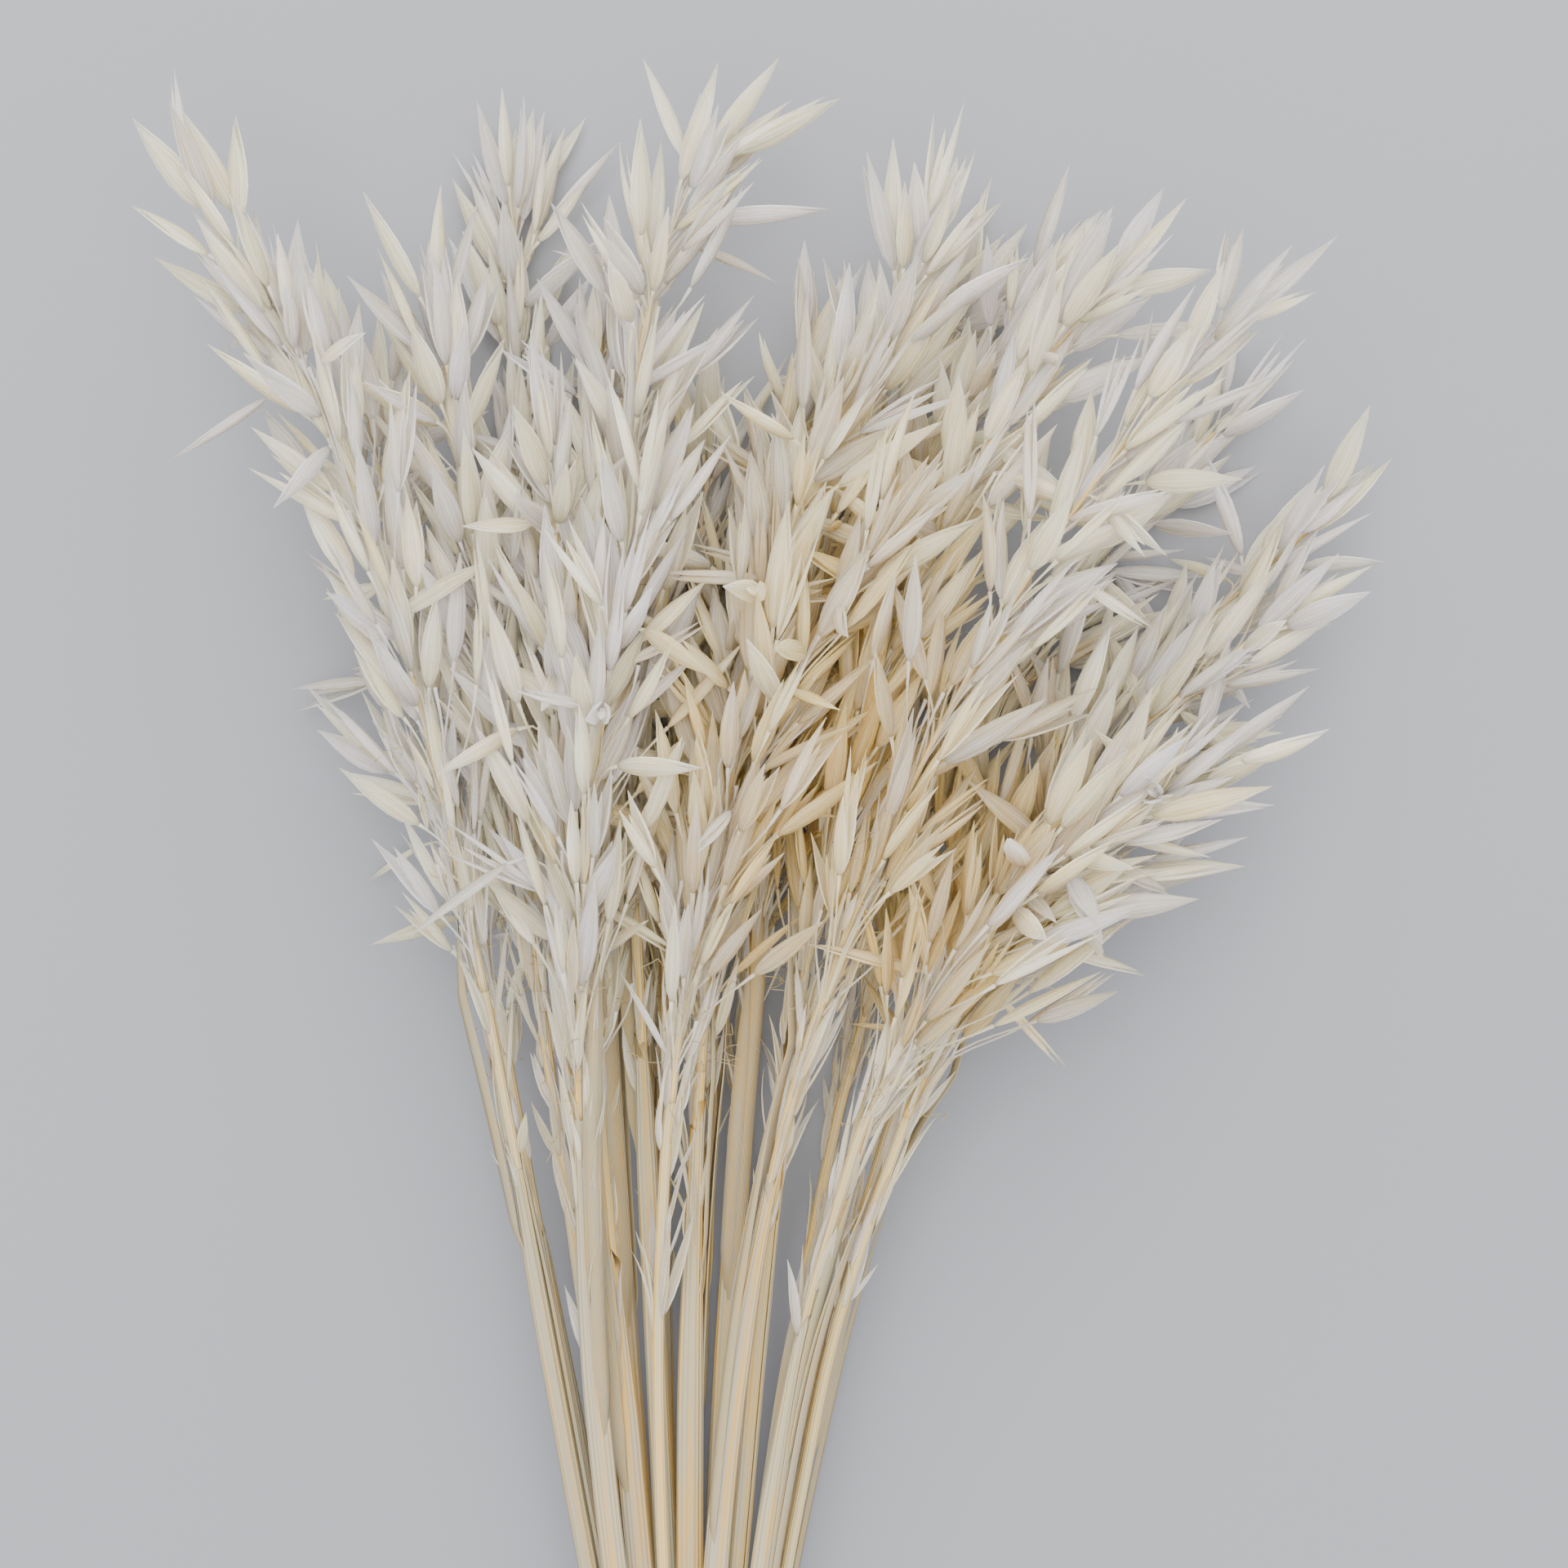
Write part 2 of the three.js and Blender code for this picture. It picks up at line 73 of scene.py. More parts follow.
# %% Pieces of the frame
tie_low, tie_high = (np.array(corner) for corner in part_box("twine_tie"))
straw_nodes = sorted(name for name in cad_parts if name.startswith("straw_"))
sheath_nodes = sorted(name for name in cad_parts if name.startswith("leaf_sheath_"))
head_nodes = sorted(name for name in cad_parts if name.startswith("oat_head_"))


def points_of(name):
    """The corner points of a CAD node, each one once, and its triangles as numbers of those points.
    Points are the same point if they agree to a thousandth of a millimetre."""
    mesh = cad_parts[name].data
    flat = np.empty(3 * len(mesh.vertices))
    mesh.vertices.foreach_get("co", flat)
    mesh.calc_loop_triangles()
    corners = np.empty(3 * len(mesh.loop_triangles), int)
    mesh.loop_triangles.foreach_get("vertices", corners)
    keys = np.round(flat.reshape(-1, 3) / MM, 3)
    points, number = np.unique(keys, axis=0, return_inverse=True)
    return points * MM, number.reshape(-1)[corners].reshape(-1, 3)


tie_points, _ = points_of("twine_tie")
flat_under = tie_points[tie_points[:, 2] < tie_low[2] + 0.5 * MM]
tie_centre = 0.5 * (flat_under.min(axis=0) + flat_under.max(axis=0))
print("straws:", len(straw_nodes), "sheaths:", len(sheath_nodes), "heads:", len(head_nodes))
print("tie centre:", tie_centre.round(4))

# %% [markdown]
# The camera looks straight down, with the cut ends below the picture's lower edge, as if the bunch were
# held up in front of it. A lens a little longer than normal, from about an arm's length, keeps the heads
# from spreading at the edges. The tie is the fixed point that the view is measured from.

# %% Camera
VIEW_ABOVE_TIE = 0.260
VIEW_SIDEWAYS = 0.023
VIEW_WIDTH = 0.369
VIEW_HEIGHT = 0.050
CAMERA_DISTANCE = 0.68
SENSOR_WIDTH = 36.0

eye = bpy.data.cameras.new("eye")
eye.sensor_width = SENSOR_WIDTH
eye.lens = SENSOR_WIDTH * CAMERA_DISTANCE / VIEW_WIDTH
camera = bpy.data.objects.new("eye", eye)
camera.location = (
    tie_centre[0] + VIEW_SIDEWAYS,
    tie_centre[1] + VIEW_ABOVE_TIE,
    VIEW_HEIGHT + CAMERA_DISTANCE,
)
bpy.context.scene.collection.objects.link(camera)
bpy.context.scene.camera = camera
print("lens, in mm:", round(eye.lens, 1))

# %% [markdown]
# Every piece is a skin over rows of points. A row of rings makes a tube, and a ring may have any outline,
# so a straw, a twisted yarn and a boat-shaped husk all come from the same few functions. Many small tubes
# are worked out at once, as one array with a row for each tube.

# %% Paths and rings


def unit(vectors):
    """Each vector divided by its length."""
    return vectors / np.maximum(np.linalg.norm(vectors, axis=-1, keepdims=True), 1e-12)


def ease(values, low, high):
    """0 below low, 1 above high, and between them 3 t squared minus 2 t cubed."""
    share = np.clip((np.asarray(values, float) - low) / (high - low), 0.0, 1.0)
    return share * share * (3.0 - 2.0 * share)


def smooth_path(knots, count):
    """A curve through the knots in count even steps. Between two knots it is a cubic whose slope at each
    knot is half the way from the knot before to the knot after (Catmull and Rom's spline)."""
    place = np.linspace(0.0, len(knots) - 1.0, count)
    before = np.clip(place.astype(int), 0, len(knots) - 2)
    t = (place - before)[:, None]
    a, b, c, d = (knots[np.clip(before + step, 0, len(knots) - 1)] for step in (-1, 0, 1, 2))
    bend = (2 * a - 5 * b + 4 * c - d) * t**2 + (3 * b - a - 3 * c + d) * t**3
    return b + 0.5 * ((c - a) * t + bend)


def frames_along(path):
    """Three directions at each point of a path or of many paths: along it, level across it, and square
    to both."""
    along = unit(np.gradient(path, axis=-2))
    side = unit(np.cross(along, UP))
    return along, side, np.cross(side, along)


def ring_points(path, side, up, across, height):
    """Rings round a path: point = path + side times across + up times height, for each ring offset."""
    return (
        path[..., None, :]
        + side[..., None, :] * across[..., None]
        + up[..., None, :] * height[..., None]
    )


def round_rings(path, radius, around):
    """Round rings of that radius, one for each point of the path. The angle runs from side to up."""
    _, side, up = frames_along(path)
    angle = np.linspace(0.0, 2 * np.pi, around, endpoint=False)
    radius = np.broadcast_to(radius, path.shape[:-1])[..., None]
    return ring_points(path, side, up, radius * np.cos(angle), radius * np.sin(angle))


test_ring = round_rings(np.outer([0.0, 1.0], [0.0, 1.0, 0.0]), 1.0, 4)[0]
print("a round ring's four corners:", test_ring.round(2).tolist())

# %% [markdown]
# A skin joins each ring to the next one and closes both ends, so every piece is solid to the touch. It
# also keeps coordinates along and across the grain, and two values for the colour of each tube. A mesh
# could be built face by face, but arrays handed over in one go make a head of thousands of faces at once.

# %% Skins


class Skin:
    """Gathers rows of rings and makes one closed mesh of them."""

    def __init__(self):
        self.points, self.corners, self.sizes, self.grain, self.slots = [], [], [], [], []
        self.values = {"warmth": [], "tint": []}
        self.count = 0

    def add(self, rings, u=None, v=None, slot=0, warmth=0.0, tint=0.5):
        """Adds tubes given as an array (tube, ring, point of the ring, xyz). Faces join each ring to the
        next one, and a flat face closes each end. u and v are the grain's coordinates round and along."""
        rings = rings.reshape((-1, *rings.shape[-3:]))
        tubes, rows, around, _ = rings.shape
        start = self.count + np.arange(tubes)[:, None, None] * rows * around
        row, k = np.meshgrid(np.arange(rows - 1), np.arange(around), indexing="ij")
        after = (k + 1) % around
        near, far = row * around, (row + 1) * around
        quad = [near + k, far + k, far + after, near + after]
        quads = (start[..., None] + np.stack(quad, axis=-1)[None]).reshape(-1, 4)
        if u is None:
            turn = np.stack([k, k, k + 1, k + 1], axis=-1) / around
        else:
            turn = np.stack([u[k], u[k], u[after], u[after]], axis=-1)
        v = np.linspace(0.0, 1.0, rows) if v is None else v
        length = np.stack([v[row], v[row + 1], v[row + 1], v[row]], axis=-1)
        grain = np.stack([turn, length], axis=-1)
        ends = np.stack([np.arange(around), (rows * around - 1) - np.arange(around)])
        caps = (start[:, :, 0, None] + ends[None]).reshape(-1, around)
        self.points.append(rings.reshape(-1, 3))
        self.corners += [quads.ravel(), caps.ravel()]
        self.sizes += [np.full(len(quads), 4), np.full(len(caps), around)]
        self.grain += [np.tile(grain.reshape(-1, 2), (tubes, 1)), np.full((caps.size, 2), 0.5)]
        self.slots += [np.full(len(quads) + len(caps), slot)]
        for name, value in (("warmth", warmth), ("tint", tint)):
            per_tube = np.broadcast_to(np.asarray(value, float).reshape(-1, 1), (tubes, rows * around))
            self.values[name].append(per_tube.ravel())
        self.count += tubes * rows * around

    def build(self, name, materials):
        """The finished object, smooth, with its grain coordinates and colour values."""
        points = np.concatenate(self.points)
        corners = np.concatenate(self.corners)
        sizes = np.concatenate(self.sizes)
        mesh = bpy.data.meshes.new(name)
        mesh.vertices.add(len(points))
        mesh.vertices.foreach_set("co", points.ravel())
        mesh.loops.add(len(corners))
        mesh.loops.foreach_set("vertex_index", corners.astype(np.int32))
        mesh.polygons.add(len(sizes))
        mesh.polygons.foreach_set("loop_start", (np.cumsum(sizes) - sizes).astype(np.int32))
        mesh.polygons.foreach_set("loop_total", sizes.astype(np.int32))
        mesh.polygons.foreach_set("material_index", np.concatenate(self.slots).astype(np.int32))
        mesh.update(calc_edges=True)
        mesh.uv_layers.new(name="grain").data.foreach_set("uv", np.concatenate(self.grain).ravel())
        for value_name, values in self.values.items():
            layer = mesh.attributes.new(value_name, "FLOAT", "POINT")
            layer.data.foreach_set("value", np.concatenate(values).astype(np.float32))
        mesh.shade_smooth()
        for material in materials:
            mesh.materials.append(material)
        piece = bpy.data.objects.new(name, mesh)
        bpy.context.scene.collection.objects.link(piece)
        return piece


def finish_piece(piece, slot, *nodes):
    """The piece rides on the bundle and stands for those CAD nodes, which are hidden. Its slot is not used.
    """
    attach(piece, "root")
    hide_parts(*nodes)


print("skins carry these colour values:", list(Skin().values))

# %% [markdown]
# ## Finishes
# Dried oats are fibre all the way through: fine parallel veins run along every straw and husk. The veins
# could be drawn as an image, but a pattern worked out from the piece's own grain coordinates stays sharp
# at any distance and follows every bend. Two node groups make it: one draws the veins, and one mixes the
# bleached colour with a golden straw colour by each piece's warmth. The warmth is partly random and partly
# painted shade: the golden colour that light takes deep in the middle of the bunch.

# %% Node helpers


def new_group(name, inputs, outputs):
    """A shader node group with named inputs (name, default) and outputs (name, socket type)."""
    group = bpy.data.node_groups.new(name, "ShaderNodeTree")
    for label, default in inputs:
        kind = "NodeSocketColor" if isinstance(default, tuple) else "NodeSocketFloat"
        socket = group.interface.new_socket(label, in_out="INPUT", socket_type=kind)
        socket.default_value = default
    for label, kind in outputs:
        group.interface.new_socket(label, in_out="OUTPUT", socket_type=kind)
    return group, group.nodes.new("NodeGroupInput"), group.nodes.new("NodeGroupOutput")


def add_node(tree, kind, settings=(), **inputs):
    """Adds a node, sets its properties and connects or fills its named inputs."""
    node = tree.nodes.new(kind)
    for key, value in dict(settings).items():
        setattr(node, key, value)
    for key, value in inputs.items():
        socket = node.inputs[int(key[1:])] if key[0] == "i" and key[1:].isdigit() else node.inputs[key]
        if isinstance(value, bpy.types.NodeSocket):
            tree.links.new(value, socket)
        else:
            socket.default_value = value
    return node


def maths(tree, operation, first, second=0.0):
    """The result of one Math node."""
    return add_node(tree, "ShaderNodeMath", {"operation": operation}, i0=first, i1=second).outputs[0]


def blend_colours(tree, mask, first, second, mode="MIX"):
    """The first colour where the mask is 0 and the second one where it is 1."""
    settings = {"data_type": "RGBA", "blend_type": mode}
    return add_node(tree, "ShaderNodeMix", settings, i0=mask, i6=first, i7=second).outputs[2]


print("node helpers:", new_group.__name__, add_node.__name__, maths.__name__, blend_colours.__name__)

# %% [markdown]
# The veins follow u, the coordinate across the grain, and fade and wander slowly along v. The bleach is
# uneven too: no two husks take it alike, so every tube is a little lighter or darker than the next.

# %% Vein and bleach groups
VEIN_DARKNESS = 0.28


def build_vein_group():
    """Veins along the grain. Height is a sine of u times the number of veins, shifted a little by a
    noise that changes slowly along v. Streaks is a noise stretched a long way along v."""
    group, given, result = new_group(
        "veins",
        [("Count", 12.0), ("Stretch", 4.0), ("Wander", 0.3)],
        [("Height", "NodeSocketFloat"), ("Streaks", "NodeSocketFloat")],
    )
    grain = add_node(group, "ShaderNodeUVMap", {"uv_map": "grain"}).outputs[0]
    parts = add_node(group, "ShaderNodeSeparateXYZ", Vector=grain)
    tint = add_node(group, "ShaderNodeAttribute", {"attribute_name": "tint"}).outputs["Fac"]
    far = maths(group, "MULTIPLY", tint, 37.0)
    slow = add_node(group, "ShaderNodeCombineXYZ", X=parts.outputs[0], Y=parts.outputs[1], Z=far)
    wander = add_node(group, "ShaderNodeTexNoise", Vector=slow.outputs[0], Scale=3.0, Detail=1.0)
    shift = maths(group, "MULTIPLY", wander.outputs[0], given.outputs["Wander"])
    across = maths(group, "MULTIPLY", parts.outputs[0], given.outputs["Count"])
    turn = maths(group, "MULTIPLY", maths(group, "ADD", across, shift), 6.2832)
    wave = maths(group, "MULTIPLY", maths(group, "ADD", maths(group, "SINE", turn), 1.0), 0.5)
    long_u = maths(group, "MULTIPLY", across, 0.7)
    long_v = maths(group, "MULTIPLY", parts.outputs[1], given.outputs["Stretch"])
    long_w = maths(group, "MULTIPLY", tint, 91.0)
    stretched = add_node(group, "ShaderNodeCombineXYZ", X=long_u, Y=long_v, Z=long_w)
    streaks = add_node(group, "ShaderNodeTexNoise", Vector=stretched.outputs[0], Scale=1.6, Detail=4.0)
    group.links.new(wave, result.inputs["Height"])
    group.links.new(streaks.outputs[0], result.inputs["Streaks"])
    return group


def build_bleach_group():
    """Colour of bleached chaff: from the pale to the warm colour by the piece's warmth, moved a little by
    its tint and by streaks along the grain, and darker in the hollows between the veins. The warmth is
    partly random and partly painted shade, golden deep in the bunch."""
    group, given, result = new_group(
        "bleach",
        [
            ("Pale", (0.8, 0.78, 0.74, 1.0)),
            ("Warm", (0.7, 0.55, 0.3, 1.0)),
            ("Dark", (0.5, 0.42, 0.3, 1.0)),
            ("Streaks", 0.5),
            ("Veins", 0.5),
            ("Contrast", 1.0),
        ],
        [("Color", "NodeSocketColor")],
    )
    warmth = add_node(group, "ShaderNodeAttribute", {"attribute_name": "warmth"}).outputs["Fac"]
    tint = add_node(group, "ShaderNodeAttribute", {"attribute_name": "tint"}).outputs["Fac"]
    uneven = maths(group, "SUBTRACT", given.outputs["Streaks"], 0.5)
    uneven = maths(group, "MULTIPLY", uneven, given.outputs["Contrast"])
    mask = add_node(group, "ShaderNodeClamp", Value=maths(group, "ADD", warmth, uneven)).outputs[0]
    colour = blend_colours(group, mask, given.outputs["Pale"], given.outputs["Warm"])
    hollow = maths(group, "SUBTRACT", 1.0, given.outputs["Veins"])
    dark_mask = maths(group, "MULTIPLY", hollow, VEIN_DARKNESS)
    colour = blend_colours(group, dark_mask, colour, given.outputs["Dark"])
    other = maths(group, "FRACT", maths(group, "MULTIPLY", tint, 2.0))
    channels = []
    for value, low, high in ((tint, 0.89, 1.03), (tint, 0.885, 1.03), (other, 0.89, 1.02)):
        spread = add_node(group, "ShaderNodeMapRange", Value=value)
        spread.inputs["To Min"].default_value = low
        spread.inputs["To Max"].default_value = high
        channels.append(spread.outputs[0])
    shade = add_node(group, "ShaderNodeCombineColor", i0=channels[0], i1=channels[1], i2=channels[2])
    group.links.new(blend_colours(group, 1.0, colour, shade.outputs[0], "MULTIPLY"), result.inputs["Color"])
    return group


vein_group = build_vein_group()
bleach_group = build_bleach_group()
print("node groups:", vein_group.name, bleach_group.name)

# %% [markdown]
# Husks and sheaths are thin as paper, so light comes through them: an opaque surface would look like
# plaster. Each finish mixes a matt surface with a translucent one. Straw is thicker and a little glossy.

# %% One dried finish


def dried_material(name, pale, warm, dark, veins, stretch, depth, contrast, roughness, through, sheen=0.0):
    """A fibrous finish: veins as a bump of that depth, the bleach group's colour, and light through it."""
    material = bpy.data.materials.new(name)
    material.use_nodes = True
    tree = material.node_tree
    tree.nodes.clear()
    vein = add_node(tree, "ShaderNodeGroup", {"node_tree": vein_group}, Count=veins, Stretch=stretch)
    colour = add_node(tree, "ShaderNodeGroup", {"node_tree": bleach_group}, Pale=pale, Warm=warm, Dark=dark)
    colour.inputs["Contrast"].default_value = contrast
    tree.links.new(vein.outputs["Streaks"], colour.inputs["Streaks"])
    tree.links.new(vein.outputs["Height"], colour.inputs["Veins"])
    bump = add_node(tree, "ShaderNodeBump", Strength=0.6, Distance=depth, Height=vein.outputs["Height"])
    surface = add_node(tree, "ShaderNodeBsdfPrincipled", Normal=bump.outputs[0], Roughness=roughness)
    tree.links.new(colour.outputs[0], surface.inputs["Base Color"])
    surface.inputs["Specular IOR Level"].default_value = 0.35
    surface.inputs["Sheen Weight"].default_value = sheen
    glow = add_node(tree, "ShaderNodeBsdfTranslucent", Color=colour.outputs[0], Normal=bump.outputs[0])
    mixed = add_node(tree, "ShaderNodeMixShader", i0=through, i1=surface.outputs[0], i2=glow.outputs[0])
    output = add_node(tree, "ShaderNodeOutputMaterial")
    tree.links.new(mixed.outputs[0], output.inputs["Surface"])
    return material


print("finish:", dried_material.__name__, "on", vein_group.name, "and", bleach_group.name)

# %% [markdown]
# Husks are nearly white and let most of the light through. Straw and sheath keep more of their gold, in
# long streaks. The twine is jute, brown, matt and hairy.

# %% Materials
husk = dried_material(
    "bleached_husk",
    pale=(0.985, 0.97, 0.93, 1.0),
    warm=(0.95, 0.80, 0.38, 1.0),
    dark=(0.60, 0.55, 0.46, 1.0),
    veins=8.0,
    stretch=1.2,
    depth=0.30 * MM,
    contrast=1.7,
    roughness=0.44,
    through=0.88,
    sheen=0.1,
)
stalk_finish = dried_material(
    "dry_straw",
    pale=(0.39, 0.325, 0.17, 1.0),
    warm=(0.61, 0.36, 0.055, 1.0),
    dark=(0.38, 0.28, 0.15, 1.0),
    veins=12.0,
    stretch=6.0,
    depth=0.18 * MM,
    contrast=4.6,
    roughness=0.42,
    through=0.20,
)
sheath_finish = dried_material(
    "papery_sheath",
    pale=(0.385, 0.335, 0.205, 1.0),
    warm=(0.575, 0.34, 0.065, 1.0),
    dark=(0.36, 0.30, 0.21, 1.0),
    veins=14.0,
    stretch=3.5,
    depth=0.30 * MM,
    contrast=5.0,
    roughness=0.5,
    through=0.38,
)
twine_finish = dried_material(
    "jute_twine",
    pale=(0.22, 0.14, 0.066, 1.0),
    warm=(0.18, 0.105, 0.042, 1.0),
    dark=(0.08, 0.045, 0.02, 1.0),
    veins=9.0,
    stretch=200.0,
    depth=0.15 * MM,
    contrast=1.6,
    roughness=0.8,
    through=0.05,
    sheen=0.3,
)
print("materials:", [m.name for m in (husk, stalk_finish, sheath_finish, twine_finish)])

# %% [markdown]
# ## Straws
# A straw is a hollow stem, cut square at its foot, with one swollen joint below the tie. It could be a
# bevelled curve, but a skin keeps the joint, the hollow end and the grain coordinates in one closed mesh.
# The middle line comes from the frame, where each straw is a row of rings. Straws deep in the bunch or
# near its middle are drawn more golden than the outer ones. That is painted shade: the golden colour
# that light takes deep in the bunch.

# %% Straws
RING_GAP = 0.9 * MM
STRAW_STEPS = 150
STRAW_AROUND = 14
SHRUNK = 0.88
HOLLOW = 0.62
HOLLOW_DEPTH = 3
WARMTH_OUTSIDE = 0.02
# Painted golden shade: how much a straw takes from its depth in the bunch and from nearness to its middle.
PAINTED_SHADE_DEEP = 0.65
PAINTED_SHADE_CENTRAL = 0.42
WARMTH_VARIES = 0.20


def middle_line(name):
    """Ring centres with the ring's radius as a fourth column. Points belong to one ring while the next
    one along Y is less than the gap away. A centre is the ring's mean, a radius its greatest distance."""
    points, _ = points_of(name)
    points = points[np.argsort(points[:, 1])]
    ring = np.cumsum(np.diff(points[:, 1], prepend=points[0, 1]) > RING_GAP)
    share = np.bincount(ring)
    centres = np.stack([np.bincount(ring, weights=points[:, axis]) / share for axis in range(3)], axis=1)
    reach = np.linalg.norm(points - centres[ring], axis=1)
    radius = np.array([reach[ring == k].max() for k in range(len(share))])
    return np.column_stack([centres, radius])


def measure_stalk(name):
    """The straw's smooth middle line with its radius, a little less when dry, and the directions across.
    The joint's step is softened: each radius becomes half itself and a quarter of each neighbour."""
    line = smooth_path(middle_line(name), STRAW_STEPS)
    along, side, up = frames_along(line[:, :3])
    radius = np.convolve(np.pad(SHRUNK * line[:, 3], 1, mode="edge"), (0.25, 0.5, 0.25), mode="valid")
    return {"path": line[:, :3], "radius": radius, "along": along, "side": side, "up": up}


def at_height(stalk, key, y):
    """The stalk's path, side or up at any distances along Y, read between its points."""
    known = stalk["path"][:, 1]
    return np.stack([np.interp(y, known, stalk[key][:, axis]) for axis in range(3)], axis=-1)


def make_straw(number, name, stalk, warmth, tint):
    """Round rings along the middle line. Two more rings turn the cut end into a short tube."""
    rings = round_rings(stalk["path"], stalk["radius"], STRAW_AROUND)
    rim = stalk["path"][0] + HOLLOW * (rings[0] - stalk["path"][0])
    bottom = stalk["path"][HOLLOW_DEPTH] + HOLLOW * (rings[HOLLOW_DEPTH] - stalk["path"][HOLLOW_DEPTH])
    skin = Skin()
    skin.add(np.concatenate([[bottom, rim], rings]), warmth=warmth, tint=tint)
    piece = skin.build(f"dry_straw_{number}", [stalk_finish])
    finish_piece(piece, "straw", name)


chance = np.random.default_rng(20)
stalks = {name[-2:]: measure_stalk(name) for name in straw_nodes}
at_tie = {number: at_height(stalk, "path", tie_centre[1]) for number, stalk in stalks.items()}
top_height = max(place[2] for place in at_tie.values())
half_width = max(abs(place[0] - tie_centre[0]) for place in at_tie.values())
for number, stalk in stalks.items():
    deep = 1.0 - at_tie[number][2] / top_height
    central = 1.0 - abs(at_tie[number][0] - tie_centre[0]) / half_width
    # Painted golden shade by depth and nearness to the middle, plus a random share.
    warmth = WARMTH_OUTSIDE + PAINTED_SHADE_DEEP * deep + PAINTED_SHADE_CENTRAL * central
    stalk["warmth"] = float(np.clip(warmth + chance.normal(0.0, WARMTH_VARIES), 0.0, 1.0))
    stalk["tint"] = float(chance.random())
    make_straw(number, f"straw_{number}", stalk, stalk["warmth"], stalk["tint"])
longest_straw = max(np.ptp(stalk["path"][:, 1]) for stalk in stalks.values())
print("straws:", len(stalks), "longest:", round(longest_straw, 3), "m")

# %% [markdown]
# ## Leaf sheaths
# The foot of each leaf is a papery tube that grows from the joint and wraps the straw, open down one side.
# Dried, it is pressed a little flat and wider than the straw, and its top is torn where the blade was. A
# Solidify modifier on an open strip would do, but its rim would be as thick as its wall, so the ring of
# points here goes round the outside and back along the inside.

# %% Leaf sheaths
SHEATH_STEPS = 80
SHEATH_AROUND = 26
SHEATH_WALL = 0.26 * MM
SHEATH_CLEARANCE = 0.30 * MM
SHEATH_PRESSED = (0.2 * MM, 1.3 * MM)
HALF_OPENING = 0.34
TEAR = 8 * MM
WAVY_EDGE = 1.5 * MM


def sheath_edge(name, stalk):
    """Where the sheath starts, how high its top is at the open side, how much higher at its back, and the
    angle of the open side. The frame's sheath has six corners round, and the two lowest tops flank the
    opening, which is half-way between them."""
    points, _ = points_of(name)
    offset = points - at_height(stalk, "path", points[:, 1])
    angle = np.arctan2(offset[:, 2], offset[:, 0])
    corner = np.round((angle + 0.5 * np.pi) / (np.pi / 3)).astype(int) % 6
    tops = np.array([points[corner == k, 1].max() for k in range(6)])
    lowest = np.argmin(tops + np.roll(tops, -1))
    opening = -0.5 * np.pi + (lowest + 0.5) * np.pi / 3
    return points[:, 1].min(), tops.min(), np.ptp(tops), opening


def make_sheath(number, name, stalk, leaning):
    """A wall from the outside round to the inside. Across is the straw's radius plus clearance, pressed
    wider sideways between the joint and the top, where it closes on the straw again. The top edge rises
    as half a sine from the open side to the back, and is torn into points."""
    start, top, tongue, opening = sheath_edge(name, stalk)
    share = np.linspace(0.0, 1.0, SHEATH_AROUND)
    turn = opening + HALF_OPENING + share * (2 * np.pi - 2 * HALF_OPENING)
    ragged = TEAR * chance.random(SHEATH_AROUND) ** 3
    ragged = ragged + WAVY_EDGE * np.sin(19.0 * share + 6.0 * chance.random())
    edge = top + tongue * np.sin(np.pi * share) ** 1.5 + ragged
    turn = np.concatenate([turn, turn[::-1]])
    edge = np.concatenate([edge, edge[::-1]])
    wall = np.repeat([SHEATH_WALL, 0.0], SHEATH_AROUND)
    row = np.linspace(0.0, 1.0, SHEATH_STEPS)[:, None]
    y = start + (edge - start) * row
    radius = np.interp(y, stalk["path"][:, 1], stalk["radius"]) + SHEATH_CLEARANCE
    widest = SHEATH_PRESSED[0] + np.ptp(SHEATH_PRESSED) * chance.random()
    narrow = ease(top - y, -8 * MM, (20 + 50 * chance.random()) * MM)
    pressed = widest * ease(y - start, 0.0, 40 * MM) * narrow
    crease = 0.13 * MM * np.sin(5 * turn + 9 * chance.random()) * narrow
    across = (radius + pressed + crease + wall) * np.cos(turn)
    height = (radius + 0.12 * pressed + crease + wall) * np.sin(turn)
    side, up = at_height(stalk, "side", y), at_height(stalk, "up", y)
    rings = at_height(stalk, "path", y) + side * across[..., None] + up * height[..., None]
    skin = Skin()
    # The sheath and its ribbons take on most of the straw's painted golden shade, with a random share.
    warmth = np.clip(0.8 * stalk["warmth"] + chance.normal(0.0, 0.15), 0.0, 1.0)
    u = np.concatenate([share, share[::-1]])
    skin.add(rings, u=u, warmth=warmth, tint=chance.random())
    for _ in range(chance.integers(*BLADES_PER_SHEATH)):
        back = opening + np.pi + chance.normal(0.0, 0.7)
        ribbon = blade_rings(stalk, top, back, BLADE_LEAN * chance.random() ** 2)
        skin.add(ribbon, u=BLADE_U, warmth=warmth * chance.random(), tint=chance.random())
    if leaning:
        ribbon = blade_rings(stalk, top + FAR_HIGHER, 0.1, FAR_LEAN)
        skin.add(ribbon, u=BLADE_U, warmth=0.3 * warmth, tint=0.6)
    piece = skin.build(f"dry_sheath_{number}", [sheath_finish])
    finish_piece(piece, "leaf_sheath", name)


# %% [markdown]
# What is left of a leaf is a ribbon, combed flat along the straw. Only one, at the right-hand edge of the
# bunch, starts higher and leans a little further out. A ribbon starts under the sheath's top edge and ends
# in a long point or a torn end. It could be a plane with thickness, but a fold down its middle is what
# makes a leaf look like a leaf, so its section is a shallow V of six points.

# %% Ribbons of leaf
BLADE_STEPS = 44
BLADE_LENGTH = (70 * MM, 150 * MM)
BLADE_WIDTH = (1.1 * MM, 2.7 * MM)
BLADE_WALL = 0.2 * MM
BLADE_U = np.array([0.0, 0.5, 1.0, 1.0, 0.5, 0.0])
BLADES_PER_SHEATH = (2, 5)
BLADE_LEAN = 6 * MM
FAR_LEAN = 15 * MM
FAR_HIGHER = 45 * MM


